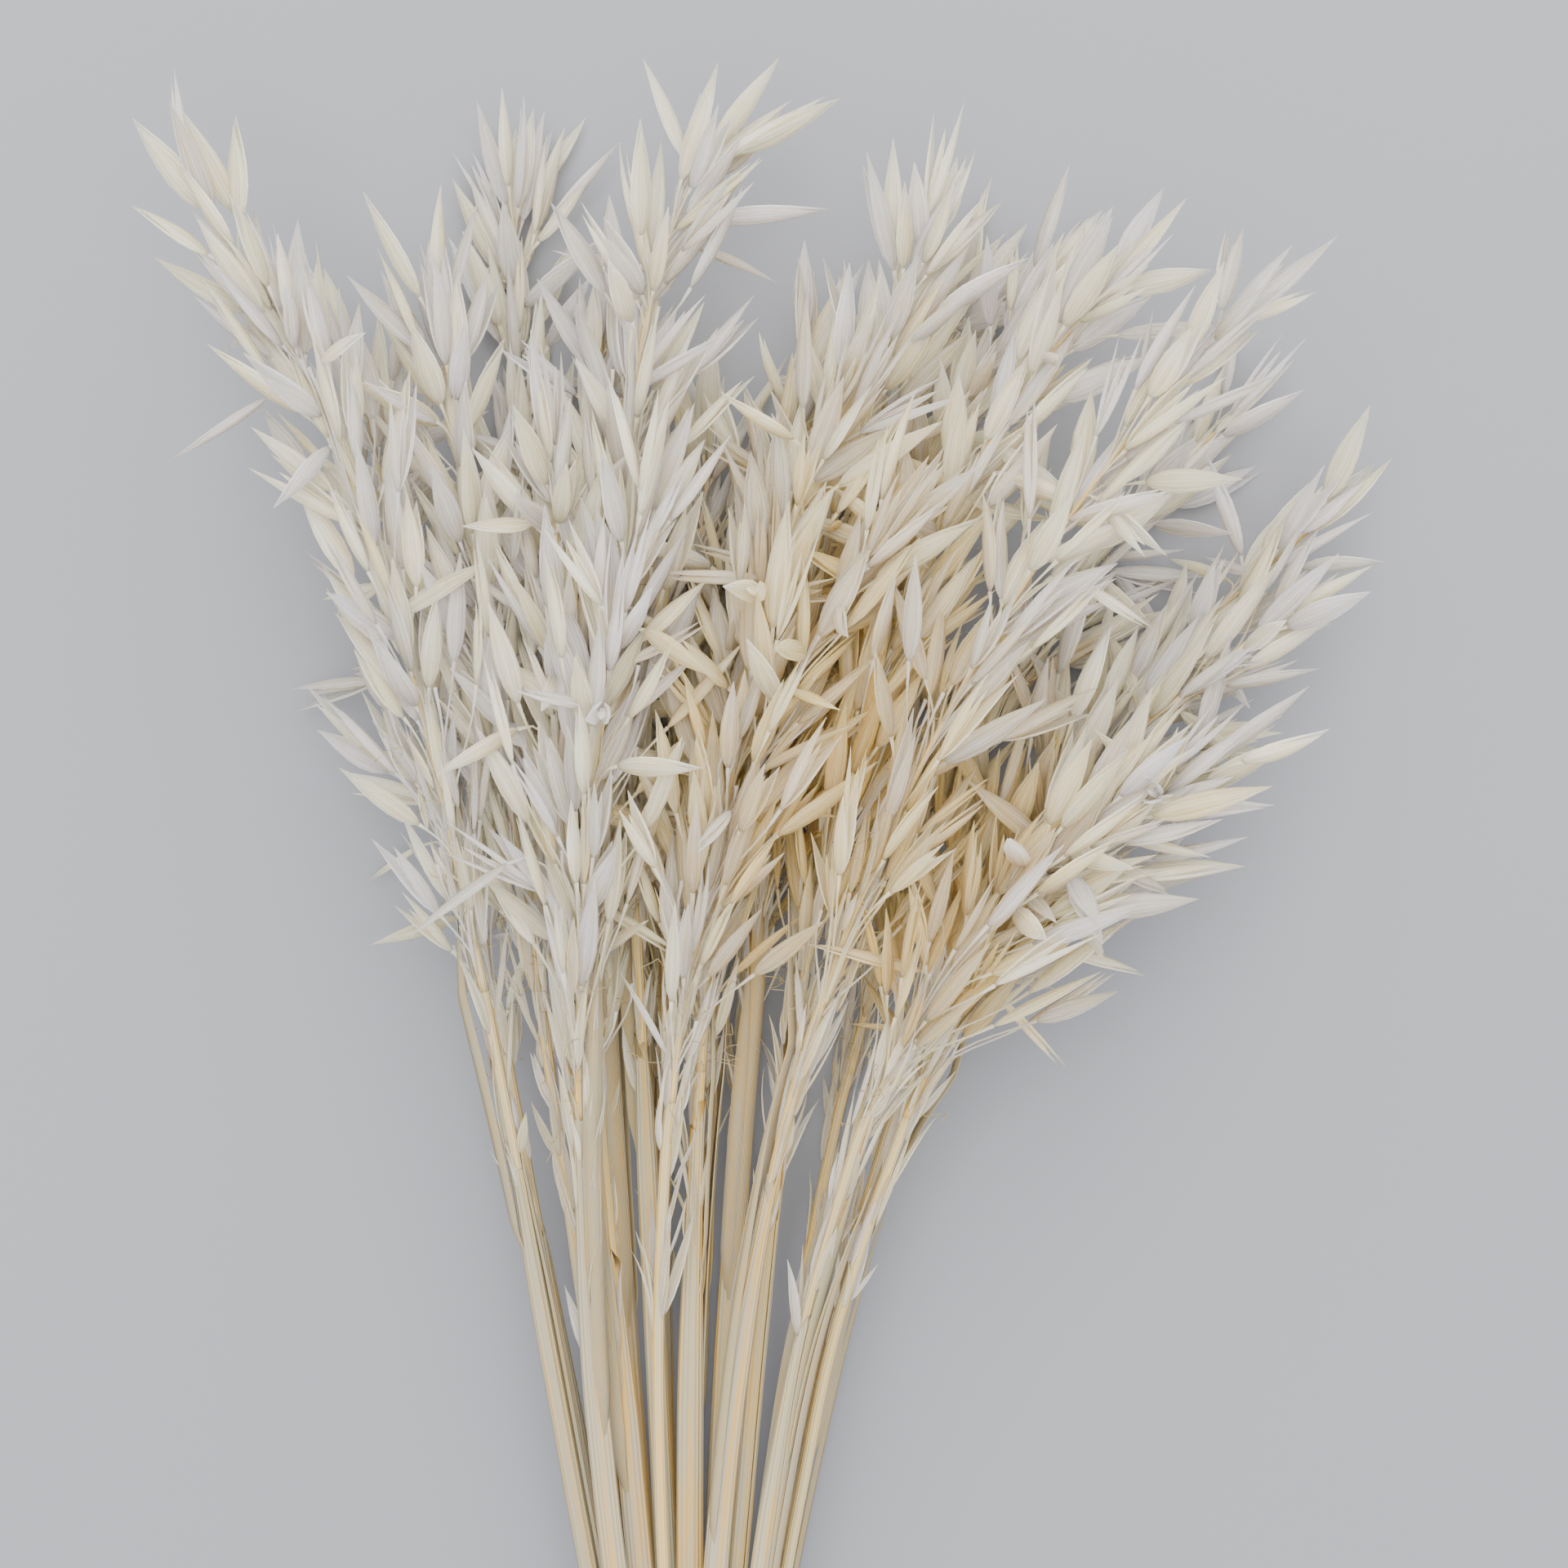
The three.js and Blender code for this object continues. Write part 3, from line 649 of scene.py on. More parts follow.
def blade_rings(stalk, top, back, lean):
    """Rings of a ribbon. It starts as a sliver inside the sheath, at the angle of the sheath's back, comes
    out through it and moves away from the straw by the lean times the square of the distance. The
    half-width swells and then falls to the tip. A slow twist turns the ribbon about its own middle."""
    t = np.linspace(0.0, 1.0, BLADE_STEPS)
    length = BLADE_LENGTH[0] + np.ptp(BLADE_LENGTH) * chance.random()
    start = top - (0.25 + 0.55 * chance.random()) * length
    end = stalk["path"][-1, 1]
    y = start + length * t
    base = at_height(stalk, "path", np.minimum(y, end))
    base[:, 1] = y
    side, up = at_height(stalk, "side", y), at_height(stalk, "up", y)
    away = 1.4 * MM + (1.3 + 0.8 * chance.random()) * MM * ease(t, 0.0, 0.16)
    away = away + lean * t**2
    out = side * np.cos(back) + up * np.sin(back)
    path = base + out * away[:, None]
    path[:, 2] = np.maximum(path[:, 2], 1.2 * MM)
    half = (BLADE_WIDTH[0] + np.ptp(BLADE_WIDTH) * chance.random()) * ease(t, -0.01, 0.2)
    half = half * (1.0 - t ** (2.0 + 5.0 * chance.random())) + 0.05 * MM
    along, _, _ = frames_along(path)
    flat = unit(np.cross(along, out))
    face = np.cross(flat, along)
    twist = chance.normal(0.0, 0.25) + chance.normal(0.0, 0.7) * t
    across = flat * np.cos(twist)[:, None] + face * np.sin(twist)[:, None]
    face = face * np.cos(twist)[:, None] - flat * np.sin(twist)[:, None]
    place = np.array([-1.0, 0.0, 1.0, 1.0, 0.0, -1.0])
    fold = np.array([0.0, 0.22, 0.0, 0.0, 0.22, 0.0])
    below = np.array([0.0, 0.0, 0.0, 1.0, 1.0, 1.0])
    width = half[:, None] * place
    height = half[:, None] * fold - BLADE_WALL * below
    return ring_points(path, across, face, width, height)[:, ::-1]


leaning_sheath = max(sheath_nodes, key=lambda name: points_of(name)[0][:, 0].max())
for name in sheath_nodes:
    make_sheath(name[-2:], name, stalks[name[-2:]], name == leaning_sheath)
print("sheaths:", len(sheath_nodes), "with one leaf leaning far out:", leaning_sheath)

# %% [markdown]
# ## Oat heads
# Each head has a thin main stem, hair-thin branches and dozens of spikelets. Geometry nodes could scatter
# them, but the frame already says where each head is and which way its spikelets point. So the spikelets
# are read back from the frame's heads, where their tips are the only sharp corners, and more of them are
# grown from the same stems until each head is as full as a real one.

# %% Read the heads from the frame
SHARP_CORNER = 1.75
STEM_STEPS = 60
STEM_RADIUS = (0.95 * MM, 0.40 * MM)
USUAL_LENGTH = (20 * MM, 27 * MM)
END_WEIGHT = 12.0


def read_spikelets(name):
    """Tip, neck and root of each spikelet. The angles of the faces at a point add up to little only at a
    tip. The tip's neighbours are the widest ring, theirs are the neck, and theirs meet the main stem."""
    points, faces = points_of(name)
    corners = points[faces]
    to_next = unit(np.roll(corners, -1, axis=1) - corners)
    to_last = unit(np.roll(corners, 1, axis=1) - corners)
    angles = np.arccos(np.clip((to_next * to_last).sum(axis=-1), -1.0, 1.0))
    total = np.bincount(faces.ravel(), weights=angles.ravel(), minlength=len(points))
    tips, necks, roots = [], [], []
    for tip in np.flatnonzero(total < SHARP_CORNER):
        seen = {tip}
        layers = [seen]
        for _ in range(3):
            touching = np.isin(faces, list(layers[-1])).any(axis=1)
            layers.append(set(faces[touching].ravel().tolist()) - seen)
            seen = seen | layers[-1]
        tips.append(points[tip])
        necks.append(points[list(layers[2])].mean(axis=0))
        roots.append(points[list(layers[3])].mean(axis=0))
    tips, necks, roots = (np.array(places) for places in (tips, necks, roots))
    length = np.linalg.norm(tips - necks, axis=1, keepdims=True)
    necks = tips - unit(tips - necks) * np.clip(length, *USUAL_LENGTH)
    return {"tip": tips, "neck": necks, "root": roots}


def fit_stem(stalk, spikelets):
    """The head's main stem: from the straw's end past the branches' roots to the neck of the last
    spikelet. Sideways place and height are each a polynomial of the fourth power of the distance along."""
    last = np.argmax(spikelets["neck"][:, 1])
    knots = np.vstack([stalk["path"][-1], spikelets["root"], spikelets["neck"][last]])
    weights = np.full(len(knots), 1.0)
    weights[[0, -1]] = END_WEIGHT
    y = np.linspace(knots[0, 1], knots[-1, 1], STEM_STEPS)
    scale = 1.0 / (y[-1] - y[0])
    place = (knots[:, 1] - y[0]) * scale
    fits = [np.polyfit(place, knots[:, axis], 4, w=weights) for axis in (0, 2)]
    x, z = (np.polyval(fit, (y - y[0]) * scale) for fit in fits)
    return np.column_stack([x, y, z]), last


heads = {}
for name in head_nodes:
    spikelets = read_spikelets(name)
    stem, last = fit_stem(stalks[name[-2:]], spikelets)
    heads[name[-2:]] = {"stem": stem, "last": last, "spikelets": spikelets}
counts = [len(head["spikelets"]["tip"]) for head in heads.values()]
print("spikelets in the frame:", sum(counts), "per head:", min(counts), "to", max(counts))

# %% [markdown]
# The added spikelets spring from the same main stems. A candidate is kept only if it stays a few
# millimetres from every spikelet already there, which is how a real head fills its space.

# %% Grow more spikelets
CANDIDATES = 1100
WHORLS = np.array([0.02, 0.15, 0.29, 0.42, 0.55, 0.67, 0.78, 0.88, 0.96])
WHORL_SHARES = np.array([0.10, 0.11, 0.13, 0.13, 0.13, 0.12, 0.11, 0.10, 0.07])
BRANCH_LONGEST = (62 * MM, 17 * MM)
BRANCH_ANGLE = (0.03, 0.48)
SPIKELET_ANGLE = (-0.15, 0.38)
SPIKELET_LENGTH = (20 * MM, 29 * MM)
SHORTEST_SHARE = (0.14, 0.06)
ROOT_SCATTER = 0.012
HANGING_SHARE = 0.24
HANGING_UP_TO = 0.8
HANGING_LEAN = (0.35, 1.2)
TABLE_ROOM = 2.8 * MM
SAMPLES = np.array([0.2, 0.5, 0.8])


def along_stem(stem, share):
    """Points of a stem at shares of its length, and the directions along and across it there."""
    place = np.clip(share, 0.0, 1.0) * (len(stem) - 1)
    whole = np.minimum(place.astype(int), len(stem) - 2)
    part = (place - whole)[:, None]
    along, side, up = frames_along(stem)
    mix = [(1 - part) * rows[whole] + part * rows[whole + 1] for rows in (stem, along, side, up)]
    return mix[0], unit(mix[1]), unit(mix[2]), unit(mix[3])


def candidates(stem):
    """Places for spikelets: a root at one of the stem's whorls, a branch that leaves it at a small angle
    and follows its bend, and a spikelet that leans out a little further. A few hang far out."""
    size = CANDIDATES
    length = np.linalg.norm(np.diff(stem, axis=0), axis=1).sum()
    root_share = chance.choice(WHORLS, size, p=WHORL_SHARES) + ROOT_SCATTER * chance.normal(0.0, 1.0, size)
    longest = BRANCH_LONGEST[0] + (BRANCH_LONGEST[1] - BRANCH_LONGEST[0]) * root_share
    least = SHORTEST_SHARE[0] - SHORTEST_SHARE[1] * root_share
    branch = longest * (least + (1.0 - least) * chance.random(size))
    angle = BRANCH_ANGLE[0] + np.ptp(BRANCH_ANGLE) * chance.random(size)
    further = SPIKELET_ANGLE[0] + np.ptp(SPIKELET_ANGLE) * chance.random(size)
    likely = HANGING_SHARE * (0.25 + root_share) * (root_share < HANGING_UP_TO)
    hanging = chance.random(size) < likely
    further = further + hanging * (HANGING_LEAN[0] + HANGING_LEAN[1] * chance.random(size))
    root, _, _, _ = along_stem(stem, root_share)
    reach = root_share + branch * np.cos(angle) / length
    base, along, side, up = along_stem(stem, reach)
    beyond = np.maximum(reach - 1.0, 0.0) * length
    turn = 2 * np.pi * chance.random(size)
    outwards = side * np.cos(turn)[:, None] + up * np.sin(turn)[:, None]
    neck = base + along * beyond[:, None] + outwards * (branch * np.sin(angle))[:, None]
    lean = (angle + further)[:, None]
    direction = along * np.cos(lean) + outwards * np.sin(lean)
    size_mm = SPIKELET_LENGTH[0] + np.ptp(SPIKELET_LENGTH) * chance.random(size)
    tip = neck + direction * size_mm[:, None]
    neck[:, 2] = np.maximum(neck[:, 2], TABLE_ROOM)
    tip[:, 2] = np.maximum(tip[:, 2], TABLE_ROOM)
    return root, neck, tip


def inside_box(points):
    """True where a point is inside the frame's whole box."""
    return ((points > np.array(cad_box[0])) & (points < np.array(cad_box[1]))).all(axis=-1)


def core(neck, tip):
    """Three points along each spikelet's middle."""
    return neck[:, None] + (tip - neck)[:, None] * SAMPLES[:, None]


print("candidates for each head:", CANDIDATES)

# %% [markdown]
# The heads are filled one after another. The middles of all the spikelets so far are kept in one array,
# and a candidate is dropped when any of its own middle points comes too near to one of them.

# %% Fill the heads
MORE_PER_HEAD = 74
CLEAR = 3.1 * MM

first_ones = [core(head["spikelets"]["neck"], head["spikelets"]["tip"]) for head in heads.values()]
filled = sum(counts) * len(SAMPLES)
taken = np.empty((filled + len(heads) * MORE_PER_HEAD * len(SAMPLES), 3))
taken[:filled] = np.concatenate(first_ones).reshape(-1, 3)
for head in heads.values():
    root, neck, tip = candidates(head["stem"])
    middle = core(neck, tip)
    usable = inside_box(tip) & inside_box(neck)
    kept = []
    for i in np.flatnonzero(usable):
        gaps = np.linalg.norm(taken[None, :filled] - middle[i][:, None], axis=-1)
        if gaps.min() > CLEAR:
            taken[filled : filled + len(SAMPLES)] = middle[i]
            filled += len(SAMPLES)
            kept.append(i)
        if len(kept) == MORE_PER_HEAD:
            break
    for key, values in (("root", root), ("neck", neck), ("tip", tip)):
        head["spikelets"][key] = np.concatenate([head["spikelets"][key], values[kept]])
print("spikelets in all:", filled // len(SAMPLES))

# %% [markdown]
# A spikelet is two husks, thin as paper and shaped like boats, closed at the neck and gaping at the tip,
# with a slim floret between them. Each husk is a skin over a few crescent-shaped rings. The same shape is
# worked out for all the spikelets of a head at once, with its own length, width, gape and turn for each.

# %% Spikelet shapes
HUSK_ROWS = np.array([0.0, 0.07, 0.18, 0.34, 0.52, 0.70, 0.87, 1.0])
HUSK_EDGE = 1.66
HUSK_WALL = 0.92
HUSK_DEPTH = 0.50
HUSK_WIDTH = (2.1 * MM, 3.1 * MM)
PRESSED_UNDER = 0.6 * MM
FLORET_ROWS = np.array([0.0, 0.2, 0.42, 0.65, 0.86, 1.0])
BRANCH_STEPS = 8
BRANCH_RADIUS = (0.34 * MM, 0.19 * MM)


def swelling(v, low=0.66, high=1.15):
    """How wide a husk is at the share v of its length: v to the power low, times what is left of the
    length to the power high, scaled so that the widest place is 1."""
    widest = low / (low + high)
    return v**low * (1 - v) ** high / (widest**low * (1 - widest) ** high)


def across_directions(direction, turn):
    """Two directions square to each spikelet, turned about it by an angle."""
    side = unit(np.cross(direction, UP) + 1e-6)
    up = np.cross(side, direction)
    cosine, sine = np.cos(turn)[:, None], np.sin(turn)[:, None]
    return side * cosine + up * sine, up * cosine - side * sine


def pressed_on_table(points):
    """The lowest parts are pressed up by the table: of their depth under the limit a tenth is left."""
    points[..., 2] -= 0.9 * np.minimum(points[..., 2] - PRESSED_UNDER, 0.0)
    return points


def husk_rings(neck, direction, side, out, length, width, gape, curl):
    """Crescent rings. The middle of a ring leans outwards by the gape and then curls. Its outer points
    lie on an arc from one edge to the other, and its inner points go back on a slightly smaller arc."""
    outer = np.linspace(HUSK_EDGE, -HUSK_EDGE, 5)
    inner = np.linspace(-0.96 * HUSK_EDGE, 0.96 * HUSK_EDGE, 3)
    angle = np.concatenate([outer, inner])
    factor = np.concatenate([np.ones(5), np.full(3, HUSK_WALL)])
    v = HUSK_ROWS
    lean = np.sin(gape)[:, None] * v + curl[:, None] * v**3
    middle = neck[:, None] + (length[:, None] * v)[..., None] * direction[:, None]
    middle = middle + (length[:, None] * lean)[..., None] * out[:, None]
    wide = width[:, None] * np.maximum(swelling(np.clip(v, 0.0, 1.0)), [0.16] + [0.0] * 6 + [0.02])
    across = wide[..., None] * factor * np.sin(angle)
    height = wide[..., None] * factor * HUSK_DEPTH * np.cos(angle)
    rings = ring_points(middle, side[:, None], out[:, None], across, height)
    return pressed_on_table(rings), 0.5 + 0.5 * angle / HUSK_EDGE


def branch_rings(root, neck, tip, along):
    """Round rings on a cubic from the stem to the neck. It leaves along the stem and arrives along the
    spikelet, and it thins from the root and thickens again just under the spikelet."""
    gap = np.linalg.norm(neck - root, axis=1, keepdims=True)
    first, second = root + 0.45 * gap * along, neck - 0.35 * gap * unit(tip - neck)
    t = np.linspace(0.0, 1.0, BRANCH_STEPS)[None, :, None]
    ends = [root[:, None], first[:, None], second[:, None], neck[:, None]]
    weights = [(1 - t) ** 3, 3 * t * (1 - t) ** 2, 3 * t**2 * (1 - t), t**3]
    path = sum(weight * end for weight, end in zip(weights, ends))
    radius = BRANCH_RADIUS[0] + (BRANCH_RADIUS[1] - BRANCH_RADIUS[0]) * t[0, :, 0]
    radius = radius + 0.28 * MM * ease(t[0, :, 0], 0.8, 1.0)
    return round_rings(path, radius, 4)


def floret_rings(neck, direction, length, width):
    """A slim spindle in the middle of the spikelet."""
    path = neck[:, None] + (length[:, None] * FLORET_ROWS)[..., None] * direction[:, None]
    radius = width[:, None] * np.maximum(swelling(FLORET_ROWS, 0.6, 0.9), 0.05)
    return pressed_on_table(round_rings(path, radius, 5))


# %% [markdown]
# Handling breaks some spikelets off, so bare branches stay behind, and hair-thin fibres curl at the foot
# of every head. They are too fine to matter one by one, but without them the feet look too tidy.

# %% Bare branches and fibres
BARE_BRANCHES = 12
FIBRES = 12
FIBRE_POINTS = 16
FIBRE_REACH = 12 * MM
FIBRE_RADIUS = 0.11 * MM


def bare_branches(stem):
    """Branches that end without a spikelet. They spring from the lowest whorls and stay near the stem."""
    root, _, _, _ = along_stem(stem, chance.choice(WHORLS[:5], BARE_BRANCHES))
    length = 0.28 + 0.25 * chance.random(BARE_BRANCHES)
    place = (root[:, 1] - stem[0, 1]) / np.ptp(stem[:, 1])
    end, along, side, up = along_stem(stem, place + 0.5 * length)
    turn = 2 * np.pi * chance.random(BARE_BRANCHES)
    away = (2 + 9 * chance.random(BARE_BRANCHES)) * MM
    end = end + (side * np.cos(turn)[:, None] + up * np.sin(turn)[:, None]) * away[:, None]
    end[:, 2] = np.maximum(end[:, 2], TABLE_ROOM)
    return branch_rings(root, end, end + 10 * MM * along, along)


def curly_fibres(stem):
    """Thin curls near the stem's foot: from a point on the stem, three waves of random size and phase in
    each direction, growing with the distance from the start."""
    start, _, _, _ = along_stem(stem, 0.01 + 0.45 * chance.random(FIBRES) ** 1.6)
    t = np.linspace(0.0, 1.0, FIBRE_POINTS)[None, :, None]
    drift = unit(chance.normal(0.0, 1.0, (FIBRES, 1, 3)) + (0.0, 0.6, 0.0))
    path = start[:, None] + FIBRE_REACH * (0.4 + 0.8 * chance.random((FIBRES, 1, 1))) * t * drift
    for wave in (1.0, 2.0, 3.5):
        phase = 2 * np.pi * chance.random((FIBRES, 1, 3))
        swing = chance.normal(0.0, 1.6 / wave, (FIBRES, 1, 3)) * MM
        ripple = np.sin(2 * np.pi * wave * t + phase) - np.sin(phase)
        path = path + swing * ripple * np.minimum(3 * t, 1.0)
    path[..., 2] = np.maximum(path[..., 2], 0.5 * MM)
    return round_rings(path, np.full(FIBRE_POINTS, FIBRE_RADIUS), 3)


# %% [markdown]
# The foot of a head is ragged: slender empty husks and torn scraps of sheath cling to it and to the straw
# under it. They are single narrow husks, laid close along the stem.

# %% Torn chaff
CHAFF = 44
CHAFF_LENGTH = (9 * MM, 27 * MM)
CHAFF_WIDTH = (0.5 * MM, 1.5 * MM)
CHAFF_BELOW = 60 * MM
CHAFF_STAND_OFF = 1.3 * MM
CHAFF_LEAN = 0.40
CHAFF_DROOP = -0.02
CHAFF_CURL = 0.09


def torn_chaff(stem, path):
    """Rings of narrow husks from some way below the head's foot to a third of its height. Each starts in
    the stem's surface and leans out by the square of a random number, so that most lie close."""
    below = path[path[:, 1] > path[-1, 1] - CHAFF_BELOW]
    line = np.vstack([below, stem[1 : STEM_STEPS // 3]])
    share = chance.random(CHAFF)
    base, along, side, up = along_stem(line, share)
    turn = 2 * np.pi * chance.random(CHAFF)
    outwards = side * np.cos(turn)[:, None] + up * np.sin(turn)[:, None]
    away = CHAFF_STAND_OFF + 5 * MM * share * chance.random(CHAFF)
    neck = base + outwards * away[:, None]
    lean = CHAFF_LEAN * chance.random(CHAFF)[:, None] ** 2
    neck[:, 2] = np.maximum(neck[:, 2], TABLE_ROOM)
    direction = unit(along * np.cos(lean) + outwards * np.sin(lean))
    direction[:, 2] = np.maximum(direction[:, 2], CHAFF_DROOP)
    direction = unit(direction)
    length = CHAFF_LENGTH[0] + np.ptp(CHAFF_LENGTH) * chance.random(CHAFF)
    width = CHAFF_WIDTH[0] + np.ptp(CHAFF_WIDTH) * chance.random(CHAFF)
    across, out = across_directions(direction, 2 * np.pi * chance.random(CHAFF))
    curl = CHAFF_CURL * chance.normal(0.0, 1.0, CHAFF)
    rings, _ = husk_rings(neck, direction, across, out, length, width, np.zeros(CHAFF), curl)
    return rings


# %% [markdown]
# A spikelet's warmth rises where many others lie close to it and towards the heart of the fan. That is
# painted shade: the golden colour that light takes deep in the bunch, after it comes through many layers.

# %% Painted shade from crowding
CROWD_REACH = 26 * MM
HEART = (0.042, 0.240, 0.035)
HEART_SIZE = (0.044, 0.100, 0.065)

middles = {number: 0.5 * (h["spikelets"]["neck"] + h["spikelets"]["tip"]) for number, h in heads.items()}
everything = np.concatenate(list(middles.values()))
heart = tie_centre * (1.0, 1.0, 0.0) + HEART
crowds = {}
hearts = {}
for number, middle in middles.items():
    near = np.linalg.norm(middle[:, None] - everything[None], axis=-1) < CROWD_REACH
    crowds[number] = near.sum(axis=1)
    hearts[number] = np.exp(-(((middle - heart) / HEART_SIZE) ** 2).sum(axis=1))
densest = np.percentile(np.concatenate(list(crowds.values())), 97)
print("neighbours of a spikelet: up to", int(densest))

# %% [markdown]
# One head is one mesh. Its own stem carries on from the straw without a step, since the stem starts at the
# straw's thickness. The two husks of a spikelet face each other, and the second one is a little shorter.
# Few spikelets gape wide open, and those at the head's foot are slimmer.

# %% Make the heads
WARMTH_BASE = -0.12
# Painted golden shade: how much a spikelet takes from crowding and from the heart of the fan.
PAINTED_SHADE_CROWD = 0.20
PAINTED_SHADE_HEART = 1.05
WIDE_OPEN_SHARE = 0.20
WIDE_OPEN = 0.10
GAPE_VARIES = 0.03
CURL_VARIES = 0.03
SLIM_AT_FOOT = 0.72


def make_head(number, head):
    """One object: the main stem and the branches, two husks and a floret for each spikelet, and the bare
    branches, fibres and torn chaff at its foot."""
    root, neck, tip = (head["spikelets"][key] for key in ("root", "neck", "tip"))
    count = len(neck)
    length = np.linalg.norm(tip - neck, axis=1)
    direction = unit(tip - neck)
    width = HUSK_WIDTH[0] + np.ptp(HUSK_WIDTH) * chance.random(count)
    side, out = across_directions(direction, 2 * np.pi * chance.random(count))
    gape = np.where(chance.random(count) < WIDE_OPEN_SHARE, WIDE_OPEN, 0.0)
    gape = gape + GAPE_VARIES * chance.random(count)
    curl = CURL_VARIES * chance.normal(0.0, 1.0, count)
    crowd = np.clip(crowds[number] / densest, 0.0, 1.0)
    # Painted golden shade from crowding and the heart; a random share is added next.
    warmth = WARMTH_BASE + PAINTED_SHADE_CROWD * crowd**2 + PAINTED_SHADE_HEART * hearts[number]
    warmth = np.clip(warmth + chance.normal(0.0, 0.10, count), 0.0, 1.0)
    tint = chance.random(count)
    skin = Skin()
    foot_radius = stalks[number]["radius"][-1]
    taper = np.linspace(0.0, 1.0, STEM_STEPS)
    stem_radius = STEM_RADIUS[0] + (STEM_RADIUS[1] - STEM_RADIUS[0]) * taper
    stem_radius = stem_radius + (foot_radius - STEM_RADIUS[0]) * (1.0 - ease(taper, 0.0, 0.16))
    # The head's stem takes on the straw's painted golden shade, and its branches, fibres and chaff a part
    # of it.
    stem_warmth = stalks[number]["warmth"]
    stem_tint = stalks[number]["tint"]
    skin.add(round_rings(head["stem"], stem_radius, 8), slot=1, warmth=stem_warmth, tint=stem_tint)
    share = (root[:, 1] - head["stem"][0, 1]) / np.ptp(head["stem"][:, 1])
    width = width * (SLIM_AT_FOOT + (1.0 - SLIM_AT_FOOT) * ease(share, 0.0, 0.35))
    _, along, _, _ = along_stem(head["stem"], share)
    side_branches = np.arange(count) != head["last"]
    branches = branch_rings(root, neck, tip, along)[side_branches]
    branch_warmth = 0.5 * (stem_warmth + warmth[side_branches])
    skin.add(branches, warmth=branch_warmth, tint=tint[side_branches])
    skin.add(bare_branches(head["stem"]), warmth=0.5 * stem_warmth, tint=stem_tint)
    skin.add(curly_fibres(head["stem"]), slot=1, warmth=0.5 * stem_warmth, tint=stem_tint)
    for sign, scale in ((1.0, 1.0), (-1.0, 0.92)):
        husk_length = length * (1.0 - 0.10 * (sign < 0))
        across, away = sign * side, sign * out
        rings, u = husk_rings(neck, direction, across, away, husk_length, scale * width, gape, sign * curl)
        skin.add(rings, u=u, v=HUSK_ROWS, warmth=warmth, tint=tint)
    scraps = torn_chaff(head["stem"], stalks[number]["path"])
    scrap_warmth = np.clip(0.35 * stem_warmth + 0.25 * chance.random(CHAFF), 0.0, 1.0)
    skin.add(scraps, v=HUSK_ROWS, warmth=scrap_warmth, tint=chance.random(CHAFF))
    inner_warmth = np.clip(warmth + 0.12, 0.0, 1.0)
    skin.add(floret_rings(neck, direction, 0.76 * length, 0.42 * width), warmth=inner_warmth, tint=tint)
    piece = skin.build(f"dry_oat_head_{number}", [husk, stalk_finish])
    finish_piece(piece, "oat_head", f"oat_head_{number}")
    return piece


made_heads = [make_head(number, head) for number, head in heads.items()]
print("heads:", len(made_heads), "faces in one:", len(made_heads[0].data.polygons))

# %% [markdown]
# ## The tie
# Jute twine goes round the bunch five times, side by side, and ends in a knot on top. It could be a curve
# with a round bevel, but real twine is three yarns laid round each other, and that shows at its edges. So
# its section is a three-lobed outline that turns as it goes along.

# %% Twine and its paths
TWINE_STEPS = 260
TWINE_AROUND = 15
LAY_LENGTH = 7.5 * MM


def hull_round(points):
    """The convex outline of points in a plane, anticlockwise, by Andrew's monotone chain: sorted points
    are added one by one, and one that makes the outline turn the wrong way is dropped."""
    ordered = points[np.lexsort((points[:, 1], points[:, 0]))]
    outline = []
    for run in (ordered, ordered[::-1]):
        chain = []
        for point in run:
            while len(chain) > 1 and np.cross(chain[-1] - chain[-2], point - chain[-1]) <= 1e-12:
                chain.pop()
            chain.append(point)
        outline += chain[:-1]
    return np.array(outline)


def twisted_rings(path, radius, step_length):
    """Rings of a three-yarn twine: the radius is less between the yarns, and the whole outline turns once
    in each lay length."""
    _, side, up = frames_along(path)
    distance = np.arange(len(path)) * step_length
    angle = np.linspace(0.0, 2 * np.pi, TWINE_AROUND, endpoint=False)
    lobes = np.abs(np.cos(1.5 * (angle[None] - 2 * np.pi * distance[:, None] / LAY_LENGTH)))
    size = np.broadcast_to(radius, (len(path),))[:, None] * (0.72 + 0.28 * lobes)
    return ring_points(path, side, up, size * np.cos(angle), size * np.sin(angle))


def coil(outline, base, start_y, pitch, turns):
    """Rounds laid side by side: the outline is followed again and again while y grows by the pitch in each
    round. The points are evenly spaced along the way."""
    closed = np.vstack([outline, outline[:1]])
    distance = np.append(0.0, np.cumsum(np.linalg.norm(np.diff(closed, axis=0), axis=1)))
    count = int(turns * TWINE_STEPS)
    way = np.linspace(0.0, turns, count)
    along = (base + way % 1.0) % 1.0 * distance[-1]
    x, z = (np.interp(along, distance, closed[:, k]) for k in (0, 1))
    y = start_y + pitch * way
    return np.column_stack([x, y, z]), distance[-1] / TWINE_STEPS


def add_twine(skin, knots, count, radius, tint):
    """A length of twine through a few knots, its ends drawn in to blunt tips."""
    path = smooth_path(np.array(knots), count)
    step_length = np.linalg.norm(np.diff(path, axis=0), axis=1).mean()
    blunt = np.minimum(1.0, 0.35 + np.minimum(np.arange(count), np.arange(count)[::-1]) * 0.4)
    skin.add(twisted_rings(path, radius * blunt, step_length), warmth=0.4, tint=tint)


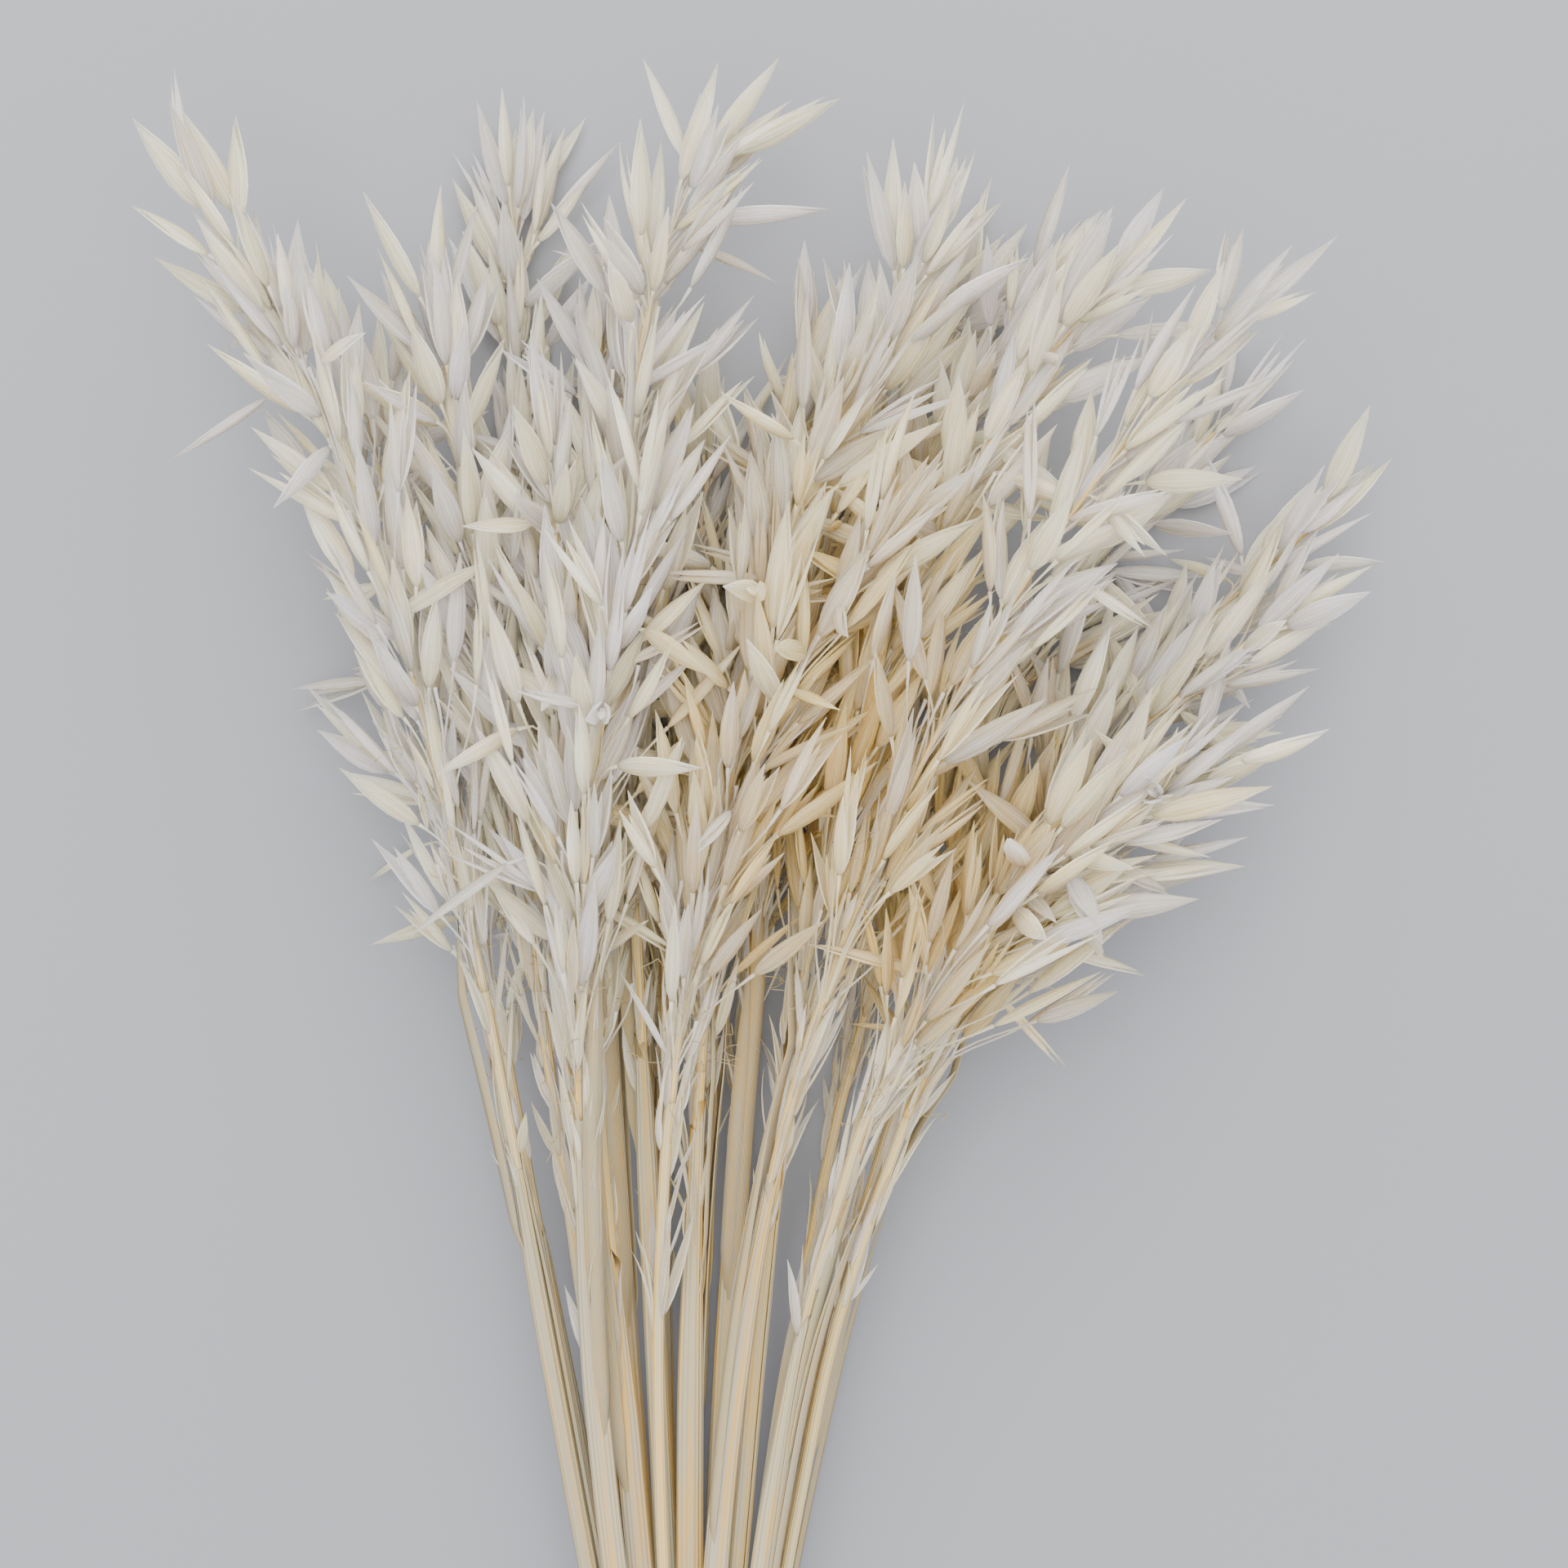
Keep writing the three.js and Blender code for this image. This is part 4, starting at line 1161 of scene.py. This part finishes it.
def knot_points(middle, lobe, lift, end_length):
    """An overhand knot with two ends. Across, it follows x = sin t + 2 sin 2t and y = cos t - 2 cos 2t,
    times the lobe. Its height, minus the sine of 3t times the lift, takes it over and under itself."""
    t = np.linspace(np.pi + 0.55, 3 * np.pi - 0.55, 22)
    x = lobe * (np.sin(t) + 2 * np.sin(2 * t))
    y = lobe * (np.cos(t) - 2 * np.cos(2 * t))
    z = -lift * np.sin(3 * t)
    turns = np.column_stack([x, y, z])
    end = unit(np.array([1.0, -0.7, 0.0])) * end_length
    near_end = end * 0.45 + (0.0, 0.0, 0.3 * lift)
    first = [end * (-1, 1, 1) - (0.0, 0.0, lift), near_end * (-1, 1, 1) + (0.0, 0.0, lift)]
    return middle + np.vstack([first, turns, near_end, end - (0.0, 0.0, lift)])


print("a lay of twine, in mm:", LAY_LENGTH / MM)

# %% [markdown]
# The rounds follow the frame's own tie, drawn in by half the twine's thickness so that they press on the
# straws. The coil starts and ends under the knot, on top of the bunch.

# %% Wind the tie
TURNS = 5
TWINE_RADIUS = 1.12 * MM
TWINE_PITCH = 2.2 * MM
TIE_WIDTH = 12 * MM
EDGE_WIDTH = 0.2 * MM
KNOT_DROP = 3.4 * MM
KNOT_LOBE = 1.25 * MM
KNOT_LIFT = 1.3 * MM
KNOT_END = 16.5 * MM
KNOT_STEPS = 170

tie_low, tie_high = tie_points.min(axis=0), tie_points.max(axis=0)
band = tie_points[np.abs(tie_points[:, 1] - tie_high[1]) < EDGE_WIDTH]
round_bunch = hull_round(band[:, [0, 2]])
outline = round_bunch + unit(round_bunch.mean(axis=0) - round_bunch) * TWINE_RADIUS
outline[:, 1] = np.maximum(outline[:, 1], TWINE_RADIUS)
middle_x, middle_y = 0.5 * (tie_low[0] + tie_high[0]), tie_high[1] - 0.5 * TIE_WIDTH
knot_middle = np.array([middle_x, middle_y, tie_high[2] - KNOT_DROP])
base = np.argmin(np.linalg.norm(outline - knot_middle[[0, 2]], axis=1))
outline = np.roll(outline, -base, axis=0)
path, step_length = coil(outline, 0.0, knot_middle[1] - 0.5 * TURNS * TWINE_PITCH, TWINE_PITCH, TURNS)
skin = Skin()
skin.add(twisted_rings(path, TWINE_RADIUS, step_length), v=np.arange(len(path)) * step_length, warmth=0.4)
knots = knot_points(knot_middle, KNOT_LOBE, KNOT_LIFT, KNOT_END)
add_twine(skin, knots, KNOT_STEPS, TWINE_RADIUS, 0.3)
twine = skin.build("twisted_twine", [twine_finish])
finish_piece(twine, "twine", "twine_tie")
print("knot at", knot_middle.round(4))
print("twine: faces", len(twine.data.polygons), "outline", np.ptp(outline, axis=0).round(4))

# %% [markdown]
# ## Table, light and finish
# A plain pale table and soft light from the heads' side and above, as in a small daylight studio.

# %% Table and light
TABLE_SIZE = 6.0
TABLE_COLOURS = ((0.132, 0.134, 0.143, 1.0), (0.144, 0.146, 0.153, 1.0))
DAYLIGHT = (0.93, 0.95, 1.0, 1.0)
DAYLIGHT_STRENGTH = 3.0


def make_table():
    """A flat square under the bundle with a very faint unevenness in its colour."""
    half = 0.5 * TABLE_SIZE
    mesh = bpy.data.meshes.new("table")
    corners = [(-half, -half, 0.0), (half, -half, 0.0), (half, half, 0.0), (-half, half, 0.0)]
    mesh.from_pydata(corners, [], [(0, 1, 2, 3)])
    material = bpy.data.materials.new("pale_table")
    material.use_nodes = True
    tree = material.node_tree
    surface = tree.nodes["Principled BSDF"]
    place = add_node(tree, "ShaderNodeTexCoord").outputs["Object"]
    noise = add_node(tree, "ShaderNodeTexNoise", Vector=place, Scale=3.0, Detail=3.0)
    colour = blend_colours(tree, noise.outputs[0], *TABLE_COLOURS)
    tree.links.new(colour, surface.inputs["Base Color"])
    surface.inputs["Roughness"].default_value = 0.9
    mesh.materials.append(material)
    table = bpy.data.objects.new("table", mesh)
    bpy.context.scene.collection.objects.link(table)


def area_light(name, place, aim, size, power, colour):
    """A square lamp that faces a point: it is turned so that its own -Z runs from its place to the aim."""
    lamp = bpy.data.lights.new(name, "AREA")
    lamp.shape = "SQUARE"
    lamp.size = size
    lamp.energy = power
    lamp.color = colour
    holder = bpy.data.objects.new(name, lamp)
    holder.location = place
    away = np.array(place) - np.array(aim)
    holder.rotation_euler = (
        float(np.arctan2(np.hypot(away[0], away[1]), away[2])),
        0.0,
        float(np.arctan2(away[0], -away[1])),
    )
    bpy.context.scene.collection.objects.link(holder)


make_table()
aim = (camera.location[0], camera.location[1], 0.03)
area_light("window", (0.15, 1.35, 1.15), aim, 1.5, 60.0, (1.0, 0.985, 0.965))
area_light("ceiling", (-0.08, 0.22, 1.7), aim, 1.3, 88.0, (0.98, 0.985, 1.0))
world = bpy.data.worlds.new("studio")
world.use_nodes = True
world.node_tree.nodes["Background"].inputs["Color"].default_value = DAYLIGHT
world.node_tree.nodes["Background"].inputs["Strength"].default_value = DAYLIGHT_STRENGTH
bpy.context.scene.world = world
bpy.context.scene.view_settings.look = "AgX - Medium Low Contrast"
